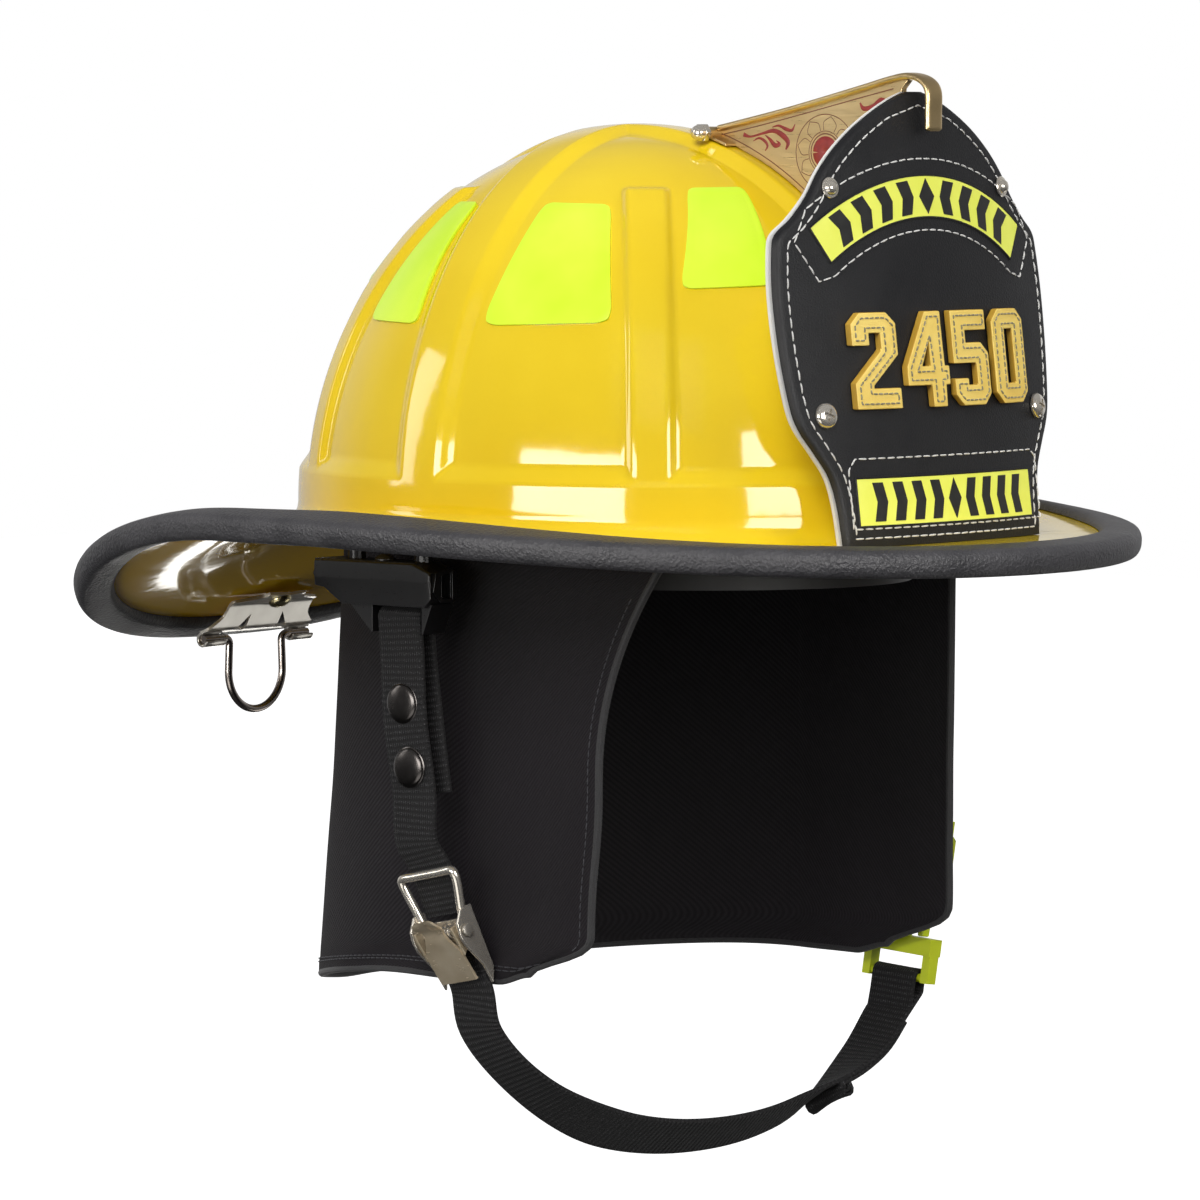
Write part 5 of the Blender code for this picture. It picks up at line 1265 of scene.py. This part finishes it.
def make_brackets():
    for word in ("right", "left"):
        bevelled(f"bracket_{word}", "bracket_black", 0.55 * MM, 2, 30)
        frame["nodes"][f"bracket_pin_{word}"].data.materials[0] = LOOKS["gunmetal"]
    for side, word in ((-1, "right"), (1, "left")):
        # the outer wall is upright above and leans in below, with softened edges
        rings = []
        for y, lift, fall in ((FRONT_Y, 3.2, 3.2), (FRONT_Y + 0.5, 2.6, 2.8), (FRONT_Y + 3, 0.2, 2),
                              (FRONT_Y + 8, 0.1, 0.2), (REAR_Y - 12, 0.1, 0.2), (REAR_Y - 8, 2.6, 0.2),
                              (REAR_Y - 4, 5.1, 0.2), (REAR_Y - 0.5, 5.5, 0.4), (REAR_Y, 5.8, 0.8)):
            low, high = BRACKET_LOW + lift, BRACKET_HIGH - fall
            swell = 0.15 if y in (FRONT_Y, REAR_Y) else 0.85
            section = ((-0.4, low), (0.1, low), (swell * 0.93, BRACKET_CREASE - 0.5),
                       (swell, BRACKET_CREASE + 0.3), (swell, high - 1.1), (swell * 0.8, high - 0.4),
                       (0.1, high), (-0.4, high))
            rings.append([Vector((side * (SIDE_X + (BRACKET_OUT + w) * MM), y * MM, z * MM))
                          for w, z in section])
        piece(f"bracket_wall_{word}", *closed(rings), "bracket_black", sharp=40, crisp=True)
        # a raised frame round the front recess, and the head of the screw above
        outer = ((-4.4, -28.4), (2.2, -28.4), (6, -24.6), (4.6, -18.6), (-3.6, -17))
        inner = ((-3.2, -27.2), (1.6, -27.2), (4.6, -24), (3.2, -19.8), (-3.1, -18.4))
        rings = []
        for pair in zip(outer, inner):
            rings.append([Vector((side * (SIDE_X + pair[k][0] * MM), y * MM, pair[k][1] * MM))
                          for k, y in ((0, FRONT_Y), (0, FRONT_Y - 0.7), (1, FRONT_Y - 0.7), (1, FRONT_Y))])
        piece(f"bracket_frame_{word}", *eased(looped(rings), 0.15 * MM), "bracket_black", crisp=True)
        head = in_mm([(3.4, -0.3), (3.4, 0.5), (2.6, 1.4), (1.2, 1.9), (0, 2)])
        at = (side * (SIDE_X + 0.5 * MM), 20 * MM, BRACKET_HIGH * MM)
        piece(f"bracket_screw_{word}", *turned(head, at, (0, 0, 1), 24), "cap_black")


# Hanging ring ------------------------------------------------------------------------------
RING_Y, RING_Z, RING_HALF, RING_WIRE = 180.4 * MM, -54.3 * MM, 13.8 * MM, 1.4 * MM


def make_hanger():
    line = [(164.5, -37.7, 9), (167.5, -39, 11), (170, -40.1, 20), (172.5, -41.2, 21), (175.5, -45.6, 21.5),
            (178, -49.6, 26), (181.3, -51.4, 27.5)]
    top = []
    for y, z, half in smooth_path(line, 5):
        row = []
        for x in np.linspace(-1, 1, 41):
            swell = 0.7 * math.exp(-((x * half) ** 2 + (y - 168.2) ** 2) / 22)
            row.append(Vector((x * half, y, z - swell)) * MM)
        top.append(row)
    under = [[p - Vector((0, 0.5, 0.9)) * MM for p in row] for row in top]
    plate = piece("hanger_plate_look", *slab(top, under), "nickel_pale", "hanger_plate", slot="nickel",
                  sharp=45)
    holes = []
    for side in (-1, 1):
        corners = [(side * 8, 174.5), (side * 14.5, 178.8), (side * 8, 179.6)]
        holes.append(closed([[Vector((x, y, z)) * MM for x, y in corners] for z in (-60, -38)]))
    cut(plate, holes)

    def in_plane(a, b):
        return a, b

    def hung(a, b):
        return Vector((a, RING_Y, b))
    inner, outer = RING_WIRE + 0.4 * MM, RING_WIRE + 1.35 * MM
    for word, low, high in (("left", -27.3 * MM, -17.2 * MM), ("right", 17.2 * MM, 27.3 * MM)):
        curl_line = arc((RING_Y, RING_Z), outer, 100, -170, 32, in_plane)
        curl_line += arc((RING_Y, RING_Z), inner, -170, 100, 32, in_plane)
        solid = eased(prism(curl_line, side_on, low, high), 0.2 * MM, 2, 60)
        piece(f"hanger_curl_{word}", *solid, "nickel_pale", slot="nickel", sharp=40)
    at, down = Vector((0, 168.2 * MM, -40.9 * MM)), Vector((0, -0.42, -0.907))
    head = turned(in_mm([(4.2, 0), (4.2, 0.6), (3.7, 1.4), (2.4, 2.1), (0, 2.4)]), at, down, 36)
    screw = piece("hanger_screw_look", *head, "screw_brass", "hanger_screw", slot="nickel", sharp=40)
    across, drop, bend = Vector((1, 0, 0)), 12.4 * MM, 2.5 * MM
    cut(screw, [block(at + down * 2.2 * MM, (9 * MM, 1.1 * MM, 1.6 * MM),
                      (across, down.cross(across), down))])
    ring = [hung(-26.5 * MM, RING_Z), hung(-17 * MM, RING_Z)]
    ring += arc((-RING_HALF - 2 * MM, RING_Z - bend), bend, 95, 10, 8, hung)
    ring += arc((0, RING_Z - drop), RING_HALF, 180, 360, 36, hung)
    ring += arc((RING_HALF + 2 * MM, RING_Z - bend), bend, 170, 85, 8, hung)
    ring += [hung(17 * MM, RING_Z), hung(26.5 * MM, RING_Z)]
    piece("hanger_ring_look", *tube(ring, RING_WIRE, 20), "ring_nickel", "hanger_ring", slot="nickel",
          body="ring")


# Drape -------------------------------------------------------------------------------------
DRAPE_HALF, DRAPE_TOP, CLOTH_T, HEM_T = 86 * MM, -4 * MM, 1.5 * MM, 0.35 * MM


def drape_plan(d, f):
    """Plan point at length d from the nape towards either cheek; f is 0 at the top, 1 at the hem."""
    half, reach = DRAPE_HALF + 1.5 * MM * f, (108 + 13 * f) * MM
    turn = abs(d)
    if turn < 90:
        t = math.radians(turn)
        return Vector((-math.copysign(half * math.sin(t), d), reach * math.cos(t), 0))
    return Vector((-math.copysign(half, d), -(turn - 90) * MM, 0))


def drape_point(u, f, grow=0.0):
    """Point of the hung cloth with its folds; u is -1 at the left cheek's edge and 1 at the right's."""
    corner = 27 * float(step(0.88, 1, f)) ** 2
    if u > 0:
        edge = 58 + 26 * max(0, 1 - 2 * f) ** 2 - 4 * float(step(0.55, 0.9, f)) - corner
    else:
        edge = 68 - 2.5 * f - corner
    d = u * (90 + edge)
    a, b = drape_plan(d - 0.5, f), drape_plan(d + 0.5, f)
    out = Vector((0, 0, 1)).cross(b - a).normalized()
    cheek = (15.5 if u > 0 else 10.5) * float(step(0.05, 0.7, abs(u))) + 3 * float(step(0.9, 1, abs(u)))
    top, bottom = DRAPE_TOP - 10 * MM * float(step(0.55, 0.75, abs(u))), (-169 + cheek) * MM
    p = drape_plan(d, f)
    p.z = top + (bottom - top) * f
    loose = float(step(0.1, 0.9, f))
    fold = 0.9 * math.sin(u * 13 + 0.6) + 0.5 * math.sin(u * 29 + 4 * f)
    fold += 1.6 * noise.noise(Vector((u * 3.2, f * 2.0, 3.7)))
    fold += 0.5 * noise.noise(Vector((u * 9, f * 6, 8.1)))
    return p + out * (loose * fold * 0.75 * MM - grow)


def make_drape():
    columns, rows = 300, 96

    def grid(side):
        out = []
        for i in range(rows + 1):
            f, row = i / rows, []
            for j in range(columns + 1):
                u = 2 * j / columns - 1
                edge = min(i if i > rows / 2 else 99, rows - i, j * 0.7, (columns - j) * 0.7)
                hem = HEM_T * (1 - float(step(2.5, 4, edge))) if i > 3 else 0
                row.append(drape_point(u, f, side * (CLOTH_T / 2 + hem)))
            out.append(row)
        return out
    outer = grid(1)
    verts, faces = slab(outer, grid(-1))
    width = sum((outer[rows // 2][j + 1] - outer[rows // 2][j]).length for j in range(columns))
    length = 156 * MM
    uvs = [((j / columns - 0.5) * width, i / rows * length) for i in range(rows + 1)
           for j in range(columns + 1)] * 2
    cloth = piece("ear_neck_drape_look", verts, faces, "drape_black", "ear_neck_drape", "drape_black",
                  sharp=80, uvs=uvs)
    left = [drape_point(-1, i / 60) for i in range(61)]
    hem = [drape_point(2 * j / 200 - 1, 1) for j in range(201)]
    right = [drape_point(1, 1 - i / 60) for i in range(61)]
    line = spaced(left + hem[1:] + right[1:], 2 * MM)[1]
    binding = piece("drape_binding", *tube(line, 1.35 * MM, 10), "binding_black", slot="drape_black")
    rows_of, on_hem = [], CLOTH_T / 2 + HEM_T
    for f in (0.964, 0.973):
        rows_of.append([drape_point(u, f, on_hem) for u in np.linspace(-0.97, 0.97, 200)])
    for u in (-0.975, 0.975):
        rows_of.append([drape_point(u, f, on_hem) for f in np.linspace(0.08, 0.93, 80)])
    seam = sew("drape_stitches", rows_of, lambda p: Vector((p.x, p.y, 0)).normalized(), "thread_black",
               "drape_black", 3 * MM, 0.22 * MM)


# Suspension --------------------------------------------------------------------------------
BAND_A, BAND_B, RATCHET_Y, RATCHET_Z = 79 * MM, 100 * MM, 93 * MM, -12 * MM


def band_grid(a, b, low, high, start, end, columns, rows, swell=0.0):
    """Upright strip along part of an ellipse, crowned by swell in its middle."""
    grid = []
    for i in range(rows + 1):
        g, row = i / rows, []
        for j in range(columns + 1):
            f = j / columns
            t = math.radians(start + (end - start) * f)
            crown = max(0.0, 1 - (2 * g - 1) ** 4) * max(0.0, 1 - (2 * f - 1) ** 10)
            rise = swell * math.sqrt(crown)
            row.append(Vector((-(a + rise) * math.sin(t), -(b + rise) * math.cos(t), low + (high - low) * g)))
        grid.append(row)
    return grid


def make_suspension():
    for k, turn in enumerate((0, 60, 120)):
        a, b, h = 80.5 * MM, 101 * MM, 98 * MM + k * 2.8 * MM
        t = math.radians(turn)
        path = []
        for e in np.radians(np.linspace(4, 176, 70)):
            path.append((-a * math.cos(e) * math.sin(t), -b * math.cos(e) * math.cos(t), h * math.sin(e)))
        name = f"crown_strap_{k + 1}"
        strap(name + "_look", path, [(-math.cos(t), math.sin(t), 0)] * len(path), replaces=name)
    faces = [band_grid(BAND_A + out, BAND_B + out, -24 * MM, 5 * MM, -156, 156, 150, 8, swell)
             for out, swell in ((0.9 * MM, 0.25 * MM), (-0.9 * MM, 0))]
    piece("headband_look", *slab(*faces), "cap_black", "headband", sharp=50)
    make_pad("brow_pad", BAND_A - 4 * MM, BAND_B - 4 * MM, -22 * MM, 4 * MM, -62, 62, 8)
    make_pad("nape_pad", BAND_A - 4 * MM, RATCHET_Y - 7.5 * MM, -26 * MM, 2 * MM, 158, 202, 4)
    bevelled("ratchet_housing", "cap_black", 0.7 * MM, 3, 35)
    bevelled("ratchet_pinion", "bracket_black", 0.15 * MM, 1, 35, body="adjuster")
    for word in ("left", "right"):
        bevelled(f"rack_{word}", "cap_black", 0.2 * MM, 1, 35, body=f"{word}_rack")
    rings = []
    for r, h in ((3, 3.2), (3, 5.5), (12.6, 5.6), (13.4, 6.2), (13.5, 7), (13.1, 9), (12.5, 11.4),
                 (11.6, 12.4), (9.8, 12.8), (7, 12.4), (0, 12.3)):
        ring = []
        for k in range(144):
            t = 2 * math.pi * k / 144
            grip = 0.45 * (0.5 + 0.5 * math.cos(24 * t)) if r > 11.9 else 0
            ring.append(Vector(((r - grip) * math.cos(t) * MM, RATCHET_Y + h * MM,
                                RATCHET_Z + (r - grip) * math.sin(t) * MM)))
        rings.append(ring)
    piece("ratchet_knob_look", *closed(rings), "bracket_black", "ratchet_knob", body="adjuster", sharp=35)


def make_pad(node, a, b, low, high, start, end, channels):
    """Padded cloth strip: inflated by cloth simulation, then sewn across in channels."""
    slim = 1.5 * MM
    sheets = [band_grid(a + out, b + out, low + MM, high - MM, start + 1, end - 1, 60, 10)
              for out in (slim, -slim)]
    obj = piece(node + "_look", *slab(*sheets), "pad_black", node, "pad_black", sharp=0)
    remesh = obj.modifiers.new("even", "REMESH")
    remesh.mode, remesh.voxel_size = "VOXEL", 1.5 * MM
    settle(obj)
    inflate(obj, 1.1 * MM)
    for v in obj.data.vertices:
        t = math.atan2(-v.co.x / a, -v.co.y / b) % (2 * math.pi)
        f = ((t - math.radians(start)) % (2 * math.pi)) / math.radians(end - start)
        near = abs(f * channels - round(f * channels)) / channels * abs(math.radians(end - start)) * b
        pinch = math.exp(-(near / (1.3 * MM)) ** 2) if 0.03 < f < 0.97 else 0
        flat = Vector((-math.sin(t) * a, -math.cos(t) * b, v.co.z))
        v.co = v.co.lerp(flat, 0.55 * pinch)
    obj.modifiers.new("soft", "SUBSURF").levels = 1
    settle(obj)
    obj.data.shade_smooth()


def inflate(obj, cap):
    """Cloth with inner pressure, each point moving no further than cap."""
    before = [v.co.copy() for v in obj.data.vertices]
    modifier = obj.modifiers.new("cloth", "CLOTH")
    modifier.settings.use_pressure = True
    modifier.settings.uniform_pressure_force = 4
    modifier.settings.effector_weights.gravity = 0
    modifier.settings.quality = 5
    modifier.point_cache.frame_end = 20
    scene = bpy.context.scene
    for k in range(1, 21):
        scene.frame_set(k)
    graph = bpy.context.evaluated_depsgraph_get()
    after = [v.co.copy() for v in obj.evaluated_get(graph).data.vertices]
    obj.modifiers.clear()
    scene.frame_set(1)
    for v, old, new in zip(obj.data.vertices, before, after):
        move = new - old
        v.co = old + move * min(1.0, cap / max(move.length, 1e-9))


make_shell()
make_trim()
make_tets()
make_leather()
make_panels()
make_digits()
make_shield_fasteners()
make_holder()
make_webbing()
make_slide()
make_chin_strap()
make_buckle()
make_brackets()
make_hanger()
make_drape()
make_suspension()


# Floor, light and camera -------------------------------------------------------------------
VIEW_TURN, VIEW_RISE, VIEW_BACK = math.radians(49), math.radians(4), 2.2


def make_stage():
    """Pale floor under the hanging helmet."""
    half, level = 12.0, -1.0
    mesh = bpy.data.meshes.new("floor")
    corners = [(x * half, y * half, level) for x, y in ((-1, -1), (1, -1), (1, 1), (-1, 1))]
    mesh.from_pydata(corners, [], [(0, 1, 2, 3)])
    obj = placed("floor", mesh)
    look = Look("floor_pale", Roughness=0.9, Emission_Color=(1.0, 1.0, 1.0), Emission_Strength=0.92)
    shade = look.noise(3, 2, 0.5)
    look.drive("Base Color", look.blend(shade, (0.80, 0.80, 0.80), (0.84, 0.84, 0.84)))
    mesh.materials.append(look.material)
    obj.visible_diffuse = obj.visible_glossy = obj.visible_shadow = False


def area_light(name, at, towards, size, power, mirrored=False, colour=(1, 1, 1)):
    """A soft lamp, which is either only mirrored or only lights."""
    data = bpy.data.lights.new(name, "AREA")
    data.shape = "RECTANGLE"
    data.size, data.size_y = size
    data.energy, data.color = power, colour
    obj = placed(name, data)
    obj.location = at
    obj.rotation_euler = (Vector(towards) - Vector(at)).to_track_quat("-Z", "Y").to_euler()
    obj.visible_glossy, obj.visible_diffuse = mirrored, not mirrored


def softbox(name, turn, rise, size, glow):
    """A mirrored panel 2 m away, turn degrees round from the back and rise degrees up."""
    t, e = math.radians(turn), math.radians(rise)
    at = Vector((math.sin(t) * math.cos(e), math.cos(t) * math.cos(e), math.sin(e))) * 2
    area_light(name, at, (0, 0, 0), size, glow * math.pi * size[0] * size[1], True, (1, 0.985, 0.95))


def make_camera():
    """Long lens from the front right, a little above the brim."""
    turn, rise = VIEW_TURN, VIEW_RISE
    back = Vector((-math.cos(rise) * math.sin(turn), -math.cos(rise) * math.cos(turn), math.sin(rise)))
    right = Vector((math.cos(turn), -math.sin(turn), 0))
    up = back.cross(right)
    data = bpy.data.cameras.new("camera")
    data.lens, data.sensor_width = 194.7, 36
    data.clip_end = 50
    obj = placed("camera", data)
    obj.location = back * VIEW_BACK - right * 0.01288 - up * 0.03322
    obj.rotation_euler = (-back).to_track_quat("-Z", "Y").to_euler()
    bpy.context.scene.camera = obj


def make_light():
    """A grey room with a bright wall behind the object, soft lamps and mirrored panels."""
    world = bpy.data.worlds.new("studio")
    world.use_nodes = True
    nodes, links = world.node_tree.nodes, world.node_tree.links
    ground = nodes["Background"]
    split = nodes.new("ShaderNodeSeparateXYZ")
    links.new(nodes.new("ShaderNodeTexCoord").outputs["Generated"], split.inputs[0])

    def maths(operation, a, b):
        made = nodes.new("ShaderNodeMath")
        made.operation = operation
        for socket, value in zip(made.inputs, (a, b)):
            if isinstance(value, bpy.types.NodeSocket):
                links.new(value, socket)
            else:
                socket.default_value = value
        return made.outputs[0]

    def ramp(value, low, high, to_low, to_high):
        made = nodes.new("ShaderNodeMapRange")
        made.interpolation_type = "SMOOTHSTEP"
        links.new(value, made.inputs[0])
        for k, number in enumerate((low, high, to_low, to_high), 1):
            made.inputs[k].default_value = number
        return made.outputs[0]
    x, y, z = split.outputs
    away = maths("ADD", maths("MULTIPLY", x, math.sin(VIEW_TURN)), maths("MULTIPLY", y, math.cos(VIEW_TURN)))
    wall = maths("MULTIPLY", ramp(z, -0.42, -0.16, 0, 1), ramp(z, 0.30, 0.55, 1, 0))
    wall = maths("MULTIPLY", wall, ramp(away, 0.3, 0.75, 0, 1))
    room = maths("ADD", ramp(z, -0.5, 0.25, 0.03, 0.27), maths("MULTIPLY", wall, 0.38))
    room = maths("MAXIMUM", room, nodes.new("ShaderNodeLightPath").outputs["Is Camera Ray"])
    ground.inputs[0].default_value = (1, 1, 1, 1)
    links.new(room, ground.inputs[1])
    bpy.context.scene.world = world
    area_light("key", (-1.6, -0.8, 1.2), (0, 0, 0), (1.0, 1.0), 34)
    area_light("fill", (0.5, -2.2, 0.7), (0, 0, 0), (1.0, 1.4), 22)
    area_light("top", (0.1, 0.3, 2.2), (0, 0, 0), (1.4, 1.4), 11)
    area_light("bounce", (-1.4, 0.9, -0.9), (0, 0.1, -0.05), (1.4, 1.4), 13)
    softbox("panel_side", -91, 4, (1.15, 0.62), 11)
    softbox("panel_low", -100, -34, (1.6, 0.9), 1.5)
    softbox("panel_under", 45, -19, (0.32, 0.75), 3.2)
    softbox("panel_far", 105, -39, (1.0, 0.8), 1.1)
    softbox("panel_front", -161, 10, (1.1, 0.8), 10)
    softbox("panel_rear", -38, 14, (0.30, 0.85), 4)
    view = bpy.context.scene.view_settings
    view.view_transform = "Standard"
    view.look = "None"


make_stage()
make_light()
make_camera()

# nodes that are seen as they are take the look of their slot
for node, obj in frame["nodes"].items():
    if obj.hide_render or not obj.data.materials or obj.data.materials[0] in LOOKS.values():
        continue
    slot = next(s["material_slot"] for s in frame["record"]["subparts"] if s["node"] == node)
    for k in range(len(obj.data.materials)):
        obj.data.materials[k] = LOOKS[slot]
